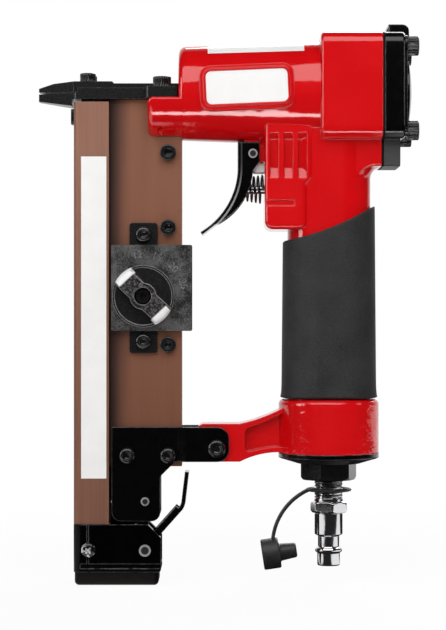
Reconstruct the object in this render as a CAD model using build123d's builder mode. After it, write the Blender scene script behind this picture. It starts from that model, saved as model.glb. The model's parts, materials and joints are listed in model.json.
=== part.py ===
"""Pneumatic pin nailer: a cast pistol body with a piston drive line and a tall pin magazine.

Millimetres. X runs from the nose to the rear cap, Y from the near side to the far side, Z up the handle.
The origin is the free end of the air plug, on the plug's axis, which is also the axis of the handle.
"""

from build123d import *

import math
import os

# Clearances
fit_gap = 0.3  # between bodies that slide or turn past each other
seat_gap = 0.05  # between pieces that are pushed together
shaft_gap = 0.05  # radial, a turning or sliding shaft in its hole
screw_gap = 0.15  # radial, a screw in its hole
blind_gap = 1.0  # left below a screw in its blind hole
cast_overlap = 1.0  # how far a lug runs into the casting that carries it

# Air plug, from its free end up
plug_tip_r = 5.0
plug_tip_length = 5.8
plug_collar_r = 6.0
plug_collar_length = 2.1
plug_neck_r = 4.7
plug_neck_length = 5.7
plug_barrel_r = 6.2
plug_barrel_length = 9.9
plug_hex_flats = 14.6
plug_hex_length = 4.9
plug_hex_turn = 41.0  # degrees, how the hexagon stands about its axis
plug_shank_r = 6.5
plug_shank_length = 9.7
plug_thread_length = 8.0
plug_bore_r = 3.5
plug_chamfer = 0.6

# Inlet bush and handle end cap
bush_flats = 22.0
bush_hex_length = 7.3
bush_neck_r = 8.6
bush_neck_length = 12.0
bush_chamfer = 0.9
bush_turn = 12.0  # degrees, how the hexagon stands about its axis
bush_bore_r = 4.5
end_cap_r = 22.3
end_cap_rim = 2.5
end_cap_cone = 2.2
end_cap_cone_r = 14.0
end_cap_spigot = 11.0
seal_r = 1.0  # round section of the sealing rings

# Dust cap: a ring round the plug, a strap and a stopper in one moulding
strap_ring_r = 10.2
strap_thickness = 1.6
strap_width = 4.4
strap_reach = 24.8  # from the plug's axis to the stopper's end of the strap
strap_drop = 22.5
strap_ring_lift = 5.2  # above the plug's hexagon
strap_bow = (0.77, 0.36)  # a point on the strap's arc, as shares of its reach and drop
stopper_offset = 0.8  # middle of the stopper's head beyond the strap's end
stopper_head_r = 6.8
stopper_head_length = 7.8
stopper_stem_r = 3.9
stopper_stem_tip_r = 3.2
stopper_stem_length = 7.6
stopper_tilt = 8.5  # degrees

# Handle
handle_drop = 159.15  # from the housing's bottom face up to the drive axis
handle_width = 36.6  # along X
handle_depth = 32.0  # along Y
handle_corner_r = 13.0
air_bore_r = 12.6
air_bore_length = 100.0
collar_r = 22.2
collar_height = 23.8
collar_round = 2.2
grip_wall = 2.0
grip_flare = 0.6  # the grip is this much thicker at its foot
grip_gap = 0.4  # between the collar and the grip
grip_front_top = 94.2  # above the housing's bottom face, on the trigger side
grip_mid_top = 99.2
grip_back_top = 110.2
grip_round = 1.2

# Barrel, nose seat and head block
barrel_front_r = 20.7
barrel_back_r = 22.9
barrel_length = 62.1
barrel_rim_r = 3.0
seat_length = 13.6  # the nose seat stands this far in front of the barrel
seat_drop = 3.1  # from the drive axis down to the seat
seat_round = 2.6
seat_edge_r = 1.2
head_front = -4.3  # X of the step from the barrel to the head block
head_length = 26.8
head_width = 46.4
head_height = 46.4
head_rise = 1.9  # centre of the head block above the drive axis
head_corner_r = 5.0
head_edge_r = 1.8
top_pad_length = 9.8
top_pad_width = 14.0
top_pad_height = 0.9
badge_length = 35.6
badge_height = 14.4
badge_border = 2.6
badge_ridge = 1.1  # width of the frame's upper step
badge_step = 0.5
badge_rise = 1.0  # middle of the badge above the drive axis
badge_tilt = 2.5  # degrees
badge_corner_r = 2.4
badge_depth = 0.9
badge_thickness = 0.6
badge_proud = 0.2  # the frame's lower step stands this far out of the barrel at its rear end
badge_setback = 29.9  # from the barrel's face to the badge's middle

# Valve block under the barrel
block_reach = 10.3  # in front of the handle's core
block_depth = 33.2
block_drop = 60.7  # from the drive axis down to the block's underside
block_length = 18.2  # from the block's front to its rear edge
block_swell = 2.6  # the block is this much longer beside the pockets
swell_slope = 3.0  # height over which it grows
block_corner_r = 3.5
block_edge_r = 2.0
lobe_drop = 32.95  # from the drive axis down to the rear air passage's underside
lobe_depth = 29.2
lobe_edge_r = 1.5
lobe_fillet_r = 5.0
pocket_width = 3.7
pocket_pitch = 6.2
pocket_count = 3
pocket_inset = 2.2
pocket_depth = 2.6
pocket_top_drop = 18.4
pocket_height = 20.0
pocket_slope = 4.5
pocket_roof = 3.0  # height of the sloping roof of a pocket
block_groove_drop = 49.2
block_groove_width = 2.4
block_groove_depth = 0.7
block_groove_length = 13.0

# Support arm from the handle's foot to the magazine
arm_length = 58.2  # from the handle's axis to the arm's free end
arm_boss_length = 18.7
arm_height = 16.7
arm_thickness = 17.0
arm_lift = -3.6  # underside of the boss, above the housing's bottom face
arm_rise = 8.2  # the upper flange climbs this much towards the handle
arm_undercut = 4.0  # the lower flange climbs this much
arm_flange = 2.3
arm_web = 7.0
arm_end_r = 3.0
arm_upper_bow = 0.38  # share of the climb that the upper flange has made half way along
arm_lower_bow = 0.9

# Drive line
front_wall = 3.0  # wall of the housing in front of the sleeve
piston_r = 13.9
piston_length = 9.0
piston_setback = 2.2  # rear face of the piston behind the head block's step
piston_play = 0.1  # radial, piston in its sleeve
sleeve_wall = 2.8
sleeve_tail = 4.0  # the sleeve runs this far past the piston's rear face
bumper_length = 5.6
bumper_hole_r = 2.6
stroke_gap = 1.8  # left between piston and bumper at the end of the stroke
driver_size = 1.3
driver_bite = 6.0  # depth of the driver in the piston
head_bore_r = 20.0
head_valve_length = 8.0
head_valve_recess = 3.0
valve_spring_r = 8.6
valve_spring_wire = 0.55  # radius
valve_spring_turns = 4

# Rear cap
gasket_thickness = 1.0
cap_thickness = 8.8
cap_lobe_thickness = 7.2
cap_edge_r = 1.4
cap_recess_r = 11.5
cap_recess_depth = 4.6
cover_sheet = 1.0
dome_r = 17.0
dome_height = 3.3
dome_shoulder = 1.4
hood_width = 20.0
hood_height = 3.6
hood_lift = 0.9  # underside of the hood above the head block
hood_reach = 6.4  # the hood runs this far forwards over the cap
hood_back = 1.6
hood_round = 3.0
bolt_side_inset = 4.7  # from the head block's side to a cap bolt
bolt_foot_inset = 3.5  # from the head block's underside to the lower cap bolts
bolt_middle = 0.6  # middle of the four bolts above the drive axis
bolt_r = 2.5
bolt_head_r = 4.25
bolt_head_height = 5.0
bolt_grip = 13.0  # length of the bolts in the housing

# Smaller screws, and the shares that every socket screw has in common
socket_share = 0.95  # corner radius of the hexagon socket over the screw's radius
socket_depth_share = 0.6  # depth of the socket over the head's height
head_chamfer_share = 0.14  # chamfer of the head over its height
screw_r = 1.75
screw_head_r = 3.5
screw_head_height = 3.7
button_head_height = 2.4
flange_screw_r = 2.3
flange_screw_head_r = 4.0
flange_screw_head_height = 4.4
flange_screw_bite = 8.0

# Nose
nose_length = 62.0  # from the barrel's face to the muzzle
jaw_length = 15.6
jaw_tip_width = 6.0
jaw_root_width = 14.0
jaw_tip_height = 1.5
jaw_lower_height = 3.2  # of the lower jaw, at its tip
jaw_gape = 0.5  # each jaw's tip stands this far off the drive axis
jaw_split = 6.5  # the jaws part this far behind the muzzle
jaw_lip = 6.6  # the upper jaw slopes over this length
jaw_gap = 0.7  # between the lower jaw's heel and the cover
nose_heel = 2.8
nose_base_width = 20.0
nose_base_corner_r = 2.0
nose_rail_height = 1.8
nose_cover_width = 14.8
nose_cover_height = 4.9
nose_cover_step = 0.9
nose_cover_thick = 17.0
nose_flange_width = 35.0
nose_flange_length = 14.4
nose_screw_spacing = 8.6
nose_screw_setback = 2.8
flange_screw_spacing = 26.0
nose_channel = 1.7
pin_max_length = 25.0
pin_min_length = 12.0

# Magazine plates
core_width = 44.3
core_bite = 1.3  # the plates reach this far behind the barrel's face
core_thickness = 14.0
core_overhang = 2.1  # the plates reach this far below the arm
pin_slot = 1.0
groove_width = 8.0
groove_depth = 2.9
groove_setback = 2.2
lip_depth = 1.0
lip_width = 2.2
plate_screw_inset = 6.0
plate_screw_drops = (26.6, 59.6, 111.2)  # below the drive axis
screw_bite = 5.4  # how deep a screw runs into a magazine plate
lug_pin_r = 1.3
lug_pin_drop = 17.2
lug_pin_setback = 5.8
lug_pin_sink = 0.6

# Sliding cover
cover_wall = 2.3
cover_front_wall = 3.0
cover_depth = 15.6
cover_overhang = 25.4  # the cover runs this far below the plates
cover_clear = 1.2  # top of the cover below the nose seat
cover_corner_r = 3.0
tab_height = 6.8
tab_width = 8.0
tab_thickness = 1.5
tab_drop = 2.6
end_block_length = 38.5
end_block_height = 21.0
end_block_proud = 0.8
end_block_floor = 4.0
end_block_front = 16.0
end_block_tongue = 20.0
end_block_bevel = 5.8
end_block_round = 1.2
end_band_lift = 1.6  # groove round the foot of the end block
end_band = 2.1
end_groove = 0.5
end_seam_inset = 6.3
end_seam = 0.8
end_web_height = 9.0  # of the web between the latch's cheeks, above the cover's end
end_web_thickness = 6.0
foot_height = 5.8
foot_round = 2.0
foot_inset = 1.0

# Latch
latch_inset = 7.0  # pivot from the end block's rear edge
latch_lift = 9.6  # pivot above the end block's underside
latch_pin_r = 2.0
latch_pin_head_r = 2.7
latch_pin_head = 0.7
latch_side_gap = 0.5
latch_sheet = 1.8
latch_hub_r = 4.2
latch_root = (5.1, 6.2)  # bends of the lever's sheet, from its pivot
latch_knee = (16.6, 19.1)
latch_tip = (18.4, 34.2)
latch_bend_r = 6.0
latch_flange = 2.2
latch_flange_end = 2.0  # the flanges stop this far before the knee
latch_spring_wire = 0.4  # radius
latch_spring_turns = 4
latch_spring_pitch = 1.3
catch_pin_r = 1.9
catch_rise = 21.4  # catch pin above the latch pivot
hook_width = 3.4
hook_notch = 1.0
hook_nose = 2.6
neck_front = 3.4  # the hook's neck, from the pivot
neck_back = 1.3

# Support brackets
bracket_sheet = 2.0
bracket_gap = 1.2  # between the cover's edge and the bracket
bracket_drop = 1.4  # top of the bracket below the top of the arm
bracket_leg = 26.2  # the leg reaches this far below the arm
bracket_leg_back = 6.7  # behind the catch pin
bracket_corner_r = 4.0
bracket_chamfer = 6.5
bracket_joggle = 3.6
bracket_end_r = 5.4
bracket_screw_inset = 6.8
bracket_screw_lift = 4.8
arm_bolt_inset = 8.6
arm_bolt_lift = 5.8
arm_bolt_r = 2.5
arm_bolt_head_r = 4.0
arm_nut_flats = 8.0
arm_nut_height = 3.6

# Pin length selector
dial_inset = 27.5  # knob's axis behind the plates' front edge
dial_drop = 89.95  # below the drive axis
strip_width = 12.4
strip_height = 57.4
strip_thickness = 2.0
strip_corner_r = 1.5
strip_screw_spacing = 47.0
dial_width = 35.6
dial_height = 37.8
dial_shift_x = 3.7
dial_shift_z = 3.7
dial_thickness = 2.2
dial_corner_r = 0.8
knob_r = 13.6
knob_disc = 1.9
knob_rim = 1.0
knob_rim_depth = 0.7
knob_bar_width = 8.8
knob_bar_height = 4.8
knob_boss_r = 5.7
knob_bevel = 3.2
knob_sink = 2.0  # the screw's head lies this far below the knob's top
knob_rest_angle = 137.0  # of the bar, degrees from +X in the near side view
knob_turn = 120.0  # degrees
crank_shaft_r = 4.0
crank_disc_thickness = 2.0
crank_disc_margin = 0.9
crank_pin_r = 1.0
crank_side_gap = 0.3
rail_thickness = 0.8
rail_margin = 0.8
rail_foot = 12.0  # the rail stops this far above the plates' lower end

# Pusher
pusher_height = 18.0
pusher_clear = 0.3
pusher_travel = 100.0
pusher_hole_depth = 10.0
rod_r = 1.4
rod_bite = 12.0
rod_overlap = 8.0  # the rod's length in the pusher when that is right down
pusher_spring_r = 2.3
pusher_spring_wire = 0.45  # radius
pusher_spring_turns = 20

# Trigger
trigger_pivot_reach = 5.1  # in front of the valve block
trigger_pivot_drop = 27.0  # below the drive axis
trigger_pin_r = 1.6
trigger_pin_head_r = 2.1
trigger_pin_head = 0.5
trigger_width = 17.0
trigger_wall = 1.6
trigger_front_reach = 11.8
trigger_straight = 11.0
trigger_tip_reach = 28.2
trigger_tip_drop = 61.6
trigger_tip_thickness = 1.4
trigger_foot_reach = 21.8  # the side walls end here, and the front wall goes on to the tip
trigger_foot_drop = 58.4
trigger_waist_reach = 12.4
trigger_waist_drop = 51.6
trigger_hub_reach = 5.0
trigger_hub_drop = 34.2
trigger_back_gap = 2.2
pivot_lug_r = 3.6
valve_drop = 42.4  # trigger valve's axis below the drive axis
valve_body_r = 6.0
valve_body_length = 18.0
stem_r = 2.0
stem_inside = 13.0
trigger_spring_small_r = 4.7
trigger_spring_large_r = 6.2
trigger_spring_wire = 0.45  # radius
trigger_spring_turns = 5

# Heights that follow from the stack on the plug
plug_shank_z = plug_tip_length + plug_collar_length + plug_neck_length + plug_barrel_length + plug_hex_length
bush_z = plug_shank_z + plug_shank_length
end_cap_z = bush_z + bush_hex_length
base_z = end_cap_z + end_cap_cone + end_cap_rim
drive_z = base_z + handle_drop
drive_axis = Axis((0, 0, drive_z), (1, 0, 0))

# Places that follow from the barrel, the head block and the handle
barrel_front = head_front - barrel_length
barrel_draft = (barrel_back_r - barrel_front_r) / barrel_length
seat_front = barrel_front - seat_length
seat_z = drive_z - seat_drop
head_back = head_front + head_length
head_top = drive_z + head_rise + head_height / 2
cap_front = head_back + gasket_thickness
cap_back = cap_front + cap_thickness
cover_back = cap_back + cover_sheet
half_handle = handle_width / 2
block_front = -half_handle - block_reach
block_half = block_depth / 2
block_bottom = drive_z - block_drop
lobe_bottom = drive_z - lobe_drop
collar_top = base_z + collar_height
arm_bottom = base_z + arm_lift
arm_top = arm_bottom + arm_height
arm_half = arm_thickness / 2
valve_z = drive_z - valve_drop
pivot_x = block_front - trigger_pivot_reach
pivot_z = drive_z - trigger_pivot_drop

# Places that follow from the magazine
muzzle = barrel_front - nose_length
jaw_root = muzzle + jaw_length
core_back = barrel_front + core_bite
core_front = core_back - core_width
core_half = core_thickness / 2
core_top = seat_z - seat_gap
core_bottom = arm_bottom - core_overhang
cover_inner = core_front - fit_gap
cover_front = cover_inner - cover_front_wall
cover_edge = cover_front + cover_depth
cover_half = core_half + fit_gap + cover_wall
cover_top = seat_z - cover_clear
cover_bottom = core_bottom - cover_overhang
end_half = cover_half + end_block_proud
end_bottom = cover_bottom - end_block_height
end_back = cover_front + end_block_length
latch_x = end_back - latch_inset
latch_z = end_bottom + latch_lift
latch_half = core_half - latch_side_gap
catch_z = latch_z + catch_rise
dial_x = core_front + dial_inset
dial_z = drive_z - dial_drop

# Drive line
bore_front = barrel_front + front_wall
bumper_back = bore_front + bumper_length
piston_back = head_front + piston_setback
piston_front = piston_back - piston_length
sleeve_bore_r = piston_r + piston_play
sleeve_r = sleeve_bore_r + sleeve_wall
sleeve_back = piston_back + sleeve_tail
stroke = piston_front - bumper_back - stroke_gap
driver_tip = muzzle + stroke

# Selector crank: half the knob's turn to each side of upright moves the rail from the short to the long pins
rail_travel = pin_max_length - pin_min_length
half_turn = math.radians(knob_turn / 2)
crank_throw = rail_travel / 2 / math.sin(half_turn)
crank_play = 0.08 * crank_throw  # takes up the difference between the crank's sine and an even motion
crank_pin_x = dial_x - rail_travel / 2
crank_pin_z = dial_z + crank_throw * math.cos(half_turn)
rail_front = core_front + pin_min_length
rail_back = crank_pin_x + crank_pin_r + crank_play + rail_margin
land_front = rail_back + rail_travel + fit_gap  # the two plates meet behind this

# Bolt and screw places
bolt_y = head_width / 2 - bolt_side_inset
bolt_z = drive_z + bolt_middle
bolt_rise = head_height / 2 - head_rise + bolt_middle - bolt_foot_inset  # half the bolts' spacing along Z
bolt_places = [(y, bolt_z + z) for y in (-bolt_y, bolt_y) for z in (-bolt_rise, bolt_rise)]
flange_x = barrel_front - nose_flange_length / 2
flange_places = [(flange_x, y) for y in (-flange_screw_spacing / 2, flange_screw_spacing / 2)]
nose_screw_x = core_front + nose_screw_setback
nose_places = [(nose_screw_x, y) for y in (-nose_screw_spacing / 2, nose_screw_spacing / 2)]
plate_screw_x = core_back - plate_screw_inset
plate_places = [(plate_screw_x, drive_z - drop) for drop in plate_screw_drops]
strip_z = dial_z + dial_shift_z
strip_places = [(dial_x, strip_z + z) for z in (-strip_screw_spacing / 2, strip_screw_spacing / 2)]
bracket_front = cover_edge + bracket_gap
bracket_screw_z = core_bottom + bracket_screw_lift
bracket_places = [(bracket_front + bracket_screw_inset, bracket_screw_z), (plate_screw_x, bracket_screw_z)]
arm_bolt_x = arm_bolt_inset - arm_length
arm_bolt_z = arm_bottom + arm_bolt_lift
lug_pin_x = seat_front + lug_pin_setback
lug_pin_z = drive_z - lug_pin_drop


def near(distance=0.0):
    """The plane of the near side view, moved this far towards the viewer, facing the viewer."""
    return Plane.XZ.offset(distance)


def disc_x(x, radius, z=drive_z):
    """A circle across X at height z."""
    with BuildSketch(Plane.YZ.offset(x)) as sketch:
        with Locations((0, z)):
            Circle(radius)
    return sketch.sketch


def cut(profile, depth, both=False):
    """Cut a profile out of the part that is being made."""
    extrude(profile, amount=depth, both=both, mode=Mode.SUBTRACT)


def discs_y(y, places, radius):
    """Circles across Y at places (x, z), facing the viewer."""
    with BuildSketch(near(-y)) as sketch:
        with Locations(*places):
            Circle(radius)
    return sketch.sketch


def socket_screw(radius, length, head_r, head_height):
    """A socket screw along Z: the head stands on z = 0 and the shank runs down from it."""
    with BuildPart() as screw:
        with BuildSketch():
            Circle(head_r)
        extrude(amount=head_height)
        chamfer(screw.edges().group_by(Axis.Z)[-1], head_chamfer_share * head_height)
        with BuildSketch():
            Circle(radius)
        extrude(amount=-length)
        with BuildSketch(Plane.XY.offset(head_height)):
            RegularPolygon(radius=socket_share * radius, side_count=6)
        extrude(amount=-socket_depth_share * head_height, mode=Mode.SUBTRACT)
    return screw.part


def arc_pair(start, start_direction, end, end_direction):
    """Two arcs, tangent to each other and to the unit directions at the two ends."""
    chord = end - start
    both = start_direction + end_direction
    spread = 2 * (1 - start_direction.dot(end_direction))
    along = chord.dot(both)
    reach = (math.sqrt(along**2 + spread * chord.dot(chord)) - along) / spread
    first_corner = start + start_direction * reach
    last_corner = end - end_direction * reach
    middle = (first_corner + last_corner) * 0.5
    heading = (last_corner - first_corner).normalized()
    with BuildLine() as pair:
        TangentArc(start, middle, tangent=start_direction)
        TangentArc(middle, end, tangent=heading)
    return pair.line


def coil(start, along, length, turns, first_r, last_r, wire_r):
    """A spring along a unit axis: pairs of arcs, each pair half a turn, its radius changing evenly."""
    frame = Plane(origin=start, z_dir=along)

    def point_at(turn):
        radius = first_r + (last_r - first_r) * turn / turns
        angle = math.tau * turn
        return frame.from_local_coords(
            Vector(radius * math.cos(angle), radius * math.sin(angle), length * turn / turns)
        )

    def heading_at(turn, step=1e-4):
        return (point_at(turn + step) - point_at(turn - step)).normalized()

    stations = [half / 2 for half in range(2 * turns + 1)]
    with BuildPart() as spring:
        with BuildLine() as wire:
            for a, b in zip(stations, stations[1:]):
                add(arc_pair(point_at(a), heading_at(a), point_at(b), heading_at(b)))
        with BuildSketch(Plane(origin=wire.line @ 0, z_dir=wire.line % 0)):
            Circle(wire_r)
        sweep(path=wire.line)
    samples = [turn / 16 for turn in range(16 * (turns - 1) + 1)]
    least = min((point_at(t + 1) - point_at(t)).length for t in samples) - 2 * wire_r
    print(f"spring of {turns} turns: least gap to itself {least:.2f} mm")
    return spring.part


def handle_section(grown=0.0):
    """The handle's rounded section, grown by this much all round."""
    RectangleRounded(handle_width + 2 * grown, handle_depth + 2 * grown, handle_corner_r + grown)


def rear_outline(x):
    """The head block's outline with the air passage below it, across X."""
    with BuildSketch(Plane.YZ.offset(x)) as outline:
        with Locations((0, lobe_bottom)):
            Rectangle(lobe_depth, lobe_drop, align=(Align.CENTER, Align.MIN))
        fillet(outline.vertices().group_by(Axis.Y)[0], block_edge_r)
        with Locations((0, drive_z + head_rise)):
            RectangleRounded(head_width, head_height, head_corner_r)
    return outline.sketch


def bolt_holes(x):
    """The four cap bolts' holes, across X."""
    with BuildSketch(Plane.YZ.offset(x)) as holes:
        with Locations(*bolt_places):
            Circle(bolt_r + screw_gap)
    return holes.sketch


# Main housing: the valve block first, on its own, so that its edges can be rounded
block_back = block_front + block_length
pocket_top = drive_z - pocket_top_drop
pocket_bottom = pocket_top - pocket_height
with BuildPart() as valve_block:
    with BuildSketch(near()) as side:
        with BuildLine():
            Polyline(
                (block_front, drive_z),
                (block_front, block_bottom),
                (block_back, block_bottom),
                (block_back, pocket_bottom - swell_slope),
                (block_back + block_swell, pocket_bottom),
                (block_back + block_swell, drive_z),
                close=True,
            )
        make_face()
        fillet(side.vertices().group_by(Axis.Y)[0], block_corner_r)
    extrude(amount=block_half, both=True)
    side_edges = valve_block.faces().filter_by(Axis.Y).edges()
    fillet(side_edges.filter_by(lambda edge: edge.center().Z < drive_z - fit_gap), block_edge_r)
    for index in range(pocket_count):
        pocket_x = block_front + pocket_inset + index * pocket_pitch
        with BuildSketch(Plane.YZ.offset(pocket_x)):
            for sign in (-1, 1):
                with BuildLine():
                    Polyline(
                        (sign * (block_half + fit_gap), pocket_top),
                        (sign * block_half, pocket_top),
                        (sign * (block_half - pocket_depth), pocket_top - pocket_roof),
                        (sign * (block_half - pocket_depth), pocket_bottom + pocket_slope),
                        (sign * block_half, pocket_bottom),
                        (sign * (block_half + fit_gap), pocket_bottom),
                        close=True,
                    )
                make_face()
        extrude(amount=pocket_width, mode=Mode.SUBTRACT)
    with BuildSketch(near(-block_half)):
        with Locations((block_front, drive_z - block_groove_drop)):
            Rectangle(block_groove_length, block_groove_width, align=(Align.MIN, Align.CENTER))
    extrude(amount=block_groove_depth, mode=Mode.SUBTRACT)
    with BuildSketch(near(block_half)):
        with Locations((block_front, drive_z - block_groove_drop)):
            Rectangle(block_groove_length, block_groove_width, align=(Align.MIN, Align.CENTER))
    extrude(amount=-block_groove_depth, mode=Mode.SUBTRACT)

# The support arm, on its own: a boss for the brackets and an I beam that climbs to the handle's foot
boss_back = arm_boss_length - arm_length
with BuildPart() as support_arm:
    with BuildSketch(near()) as side:
        with BuildLine():
            root_x = -half_handle
            middle_x = (boss_back + root_x) / 2
            upper = ThreePointArc(
                (boss_back, arm_top),
                (middle_x, arm_top + arm_upper_bow * arm_rise),
                (root_x, arm_top + arm_rise),
            )
            lower = ThreePointArc(
                (root_x, arm_bottom + arm_undercut),
                (middle_x, arm_bottom + arm_lower_bow * arm_undercut),
                (boss_back, arm_bottom),
            )
            Line(upper @ 1, lower @ 0)
            Polyline(lower @ 1, (-arm_length, arm_bottom), (-arm_length, arm_top), upper @ 0)
        make_face()
        fillet(side.vertices().group_by(Axis.X)[0], arm_end_r)
    extrude(amount=arm_half, both=True)
    with BuildSketch(near(arm_web / 2)) as recess:
        with BuildLine():
            roof = ThreePointArc(
                (boss_back + arm_flange, arm_top - arm_flange),
                (middle_x, arm_top + arm_upper_bow * arm_rise - arm_flange),
                (root_x, arm_top + arm_rise - arm_flange),
            )
            sole = ThreePointArc(
                (root_x, arm_bottom + arm_undercut + arm_flange),
                (middle_x, arm_bottom + arm_lower_bow * arm_undercut + arm_flange),
                (boss_back + arm_flange, arm_bottom + arm_lower_bow * arm_undercut),
            )
            Line(roof @ 1, sole @ 0)
            Line(sole @ 1, roof @ 0)
        make_face()
        fillet(recess.vertices().group_by(Axis.X)[0], arm_flange)
    web_cut = extrude(amount=arm_half, mode=Mode.SUBTRACT)
    mirror(web_cut, about=Plane.XZ, mode=Mode.SUBTRACT)

with BuildPart() as head_block:
    with BuildSketch(Plane.YZ.offset(head_front)):
        with Locations((0, drive_z + head_rise)):
            RectangleRounded(head_width, head_height, head_corner_r)
    extrude(amount=head_length)
    fillet(head_block.faces().sort_by(Axis.X)[0].edges(), head_edge_r)

# The handle's core with the air passage behind it, which the arch below it joins to the core
passage_room = lobe_bottom - base_z - grip_back_top - grip_gap
with BuildPart() as handle_core:
    with BuildSketch(Plane.XY.offset(lobe_bottom)):
        Rectangle(head_back, lobe_depth, align=(Align.MIN, Align.CENTER))
    extrude(amount=lobe_drop)
    with BuildSketch(Plane.XY.offset(base_z)):
        handle_section()
    extrude(amount=handle_drop)
    rim = handle_core.edges().filter_by_position(Axis.Z, lobe_bottom - seat_gap, lobe_bottom + seat_gap)
    arch = rim.filter_by(lambda edge: edge.center().X < half_handle + seat_gap)
    arch = arch.filter_by(lambda edge: abs(edge.center().Y) < lobe_depth / 2 - seat_gap)
    fillet(arch, min(lobe_fillet_r, passage_room / 2))
    rim = handle_core.edges().filter_by_position(Axis.Z, lobe_bottom - seat_gap, lobe_bottom + seat_gap)
    fillet(rim.filter_by(lambda edge: abs(edge.center().Y) > lobe_depth / 2 - seat_gap), lobe_edge_r)

with BuildPart() as handle_foot:
    with BuildSketch(Plane.XY.offset(base_z)):
        Circle(collar_r)
    extrude(amount=collar_height)
    fillet(handle_foot.edges().group_by(Axis.Z)[-1], collar_round)

with BuildPart() as nose_seat:
    with BuildSketch(Plane.YZ.offset(seat_front)):
        with Locations((0, drive_z)):
            Circle(barrel_front_r)
        with Locations((0, seat_z)):
            below = (Align.CENTER, Align.MAX)
            Rectangle(2 * barrel_front_r, 2 * barrel_front_r, align=below, mode=Mode.INTERSECT)
    extrude(amount=seat_length + 2 * barrel_rim_r)
    fillet(nose_seat.edges().filter_by(Axis.X), seat_edge_r)
    fillet(nose_seat.edges().group_by(Axis.X)[0].sort_by(Axis.Z)[0], seat_round)

with BuildPart() as main_housing:
    # Barrel, with the casting's draft, and the nose seat in front of it
    with BuildSketch(Plane.YZ.offset(barrel_front)):
        with Locations((0, drive_z)):
            Circle(barrel_front_r)
    with BuildSketch(Plane.YZ.offset(head_front)):
        with Locations((0, drive_z)):
            Circle(barrel_back_r)
    loft()
    fillet(main_housing.edges().group_by(Axis.X)[0], barrel_rim_r)
    add(nose_seat.part)
    add(head_block.part)
    with BuildSketch(Plane.XY.offset(head_top)):
        with Locations(((head_front + head_back) / 2 + head_edge_r, 0)):
            RectangleRounded(top_pad_length, top_pad_width, top_pad_length / 5)
    extrude(amount=top_pad_height)
    # Raised frame for the badge, on the near side
    badge_x = barrel_front + badge_setback
    frame_back = badge_x + badge_length / 2 + badge_border
    badge_face = barrel_front_r + barrel_draft * (frame_back - barrel_front) + badge_step + badge_proud
    badge_place = Location((badge_x, drive_z + badge_rise), badge_tilt)
    for border, sink in ((badge_border, badge_step), (badge_ridge, 0)):
        with BuildSketch(near(badge_face - sink)):
            with Locations(badge_place):
                frame_length = badge_length + 2 * border
                RectangleRounded(frame_length, badge_height + 2 * border, badge_corner_r + border)
        extrude(amount=-badge_face / 2)
    with BuildSketch(near(badge_face)):
        with Locations(badge_place):
            RectangleRounded(badge_length, badge_height, badge_corner_r)
    extrude(amount=-badge_depth, mode=Mode.SUBTRACT)
    # Handle, its foot, the valve block and the arm
    add(handle_core.part)
    add(valve_block.part)
    add(support_arm.part)
    add(handle_foot.part)
    # Lug for the trigger's pin
    with BuildSketch(near()):
        with Locations((pivot_x, pivot_z)):
            Circle(pivot_lug_r)
            Rectangle(2 * pivot_lug_r, trigger_pivot_drop - barrel_front_r, align=(Align.CENTER, Align.MIN))
            Rectangle(trigger_pivot_reach + cast_overlap, 2 * pivot_lug_r, align=(Align.MIN, Align.CENTER))
    extrude(amount=trigger_width / 2 - trigger_wall - fit_gap, both=True)
    # Bores for the drive line, the trigger valve and the air
    cut(disc_x(bore_front, sleeve_r + seat_gap), head_back - bore_front)
    cut(disc_x(sleeve_back, head_bore_r), head_back - sleeve_back)
    cut(disc_x(barrel_front, bumper_hole_r), front_wall)
    cut(disc_x(block_front, valve_body_r + seat_gap, valve_z), valve_body_length)
    cut(bolt_holes(head_back), -bolt_grip - blind_gap)
    with BuildSketch(Plane.XY.offset(base_z)):
        Circle(air_bore_r)
    extrude(amount=air_bore_length, mode=Mode.SUBTRACT)
    # Slot for the magazine, and the holes of pins and screws
    with BuildSketch(Plane.XY.offset(seat_z)):
        with Locations((core_back + seat_gap, 0)):
            Rectangle(core_width, core_thickness + 2 * seat_gap, align=(Align.MAX, Align.CENTER))
    extrude(amount=-2 * barrel_front_r, mode=Mode.SUBTRACT)
    with BuildSketch(Plane.XY.offset(seat_z)):
        with Locations(*flange_places):
            Circle(flange_screw_r + screw_gap)
    extrude(amount=-flange_screw_bite - blind_gap, mode=Mode.SUBTRACT)
    cut(discs_y(0, [(lug_pin_x, lug_pin_z)], lug_pin_r + seat_gap), barrel_front_r, both=True)
    cut(discs_y(0, [(pivot_x, pivot_z)], trigger_pin_r + shaft_gap), trigger_width, both=True)
    cut(discs_y(0, [(arm_bolt_x, arm_bolt_z)], arm_bolt_r + screw_gap), arm_thickness, both=True)

with BuildPart() as badge_plate:
    with BuildSketch(near(badge_face - badge_depth)):
        with Locations(badge_place):
            RectangleRounded(badge_length - 2 * seat_gap, badge_height - 2 * seat_gap, badge_corner_r)
    extrude(amount=badge_thickness)

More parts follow.
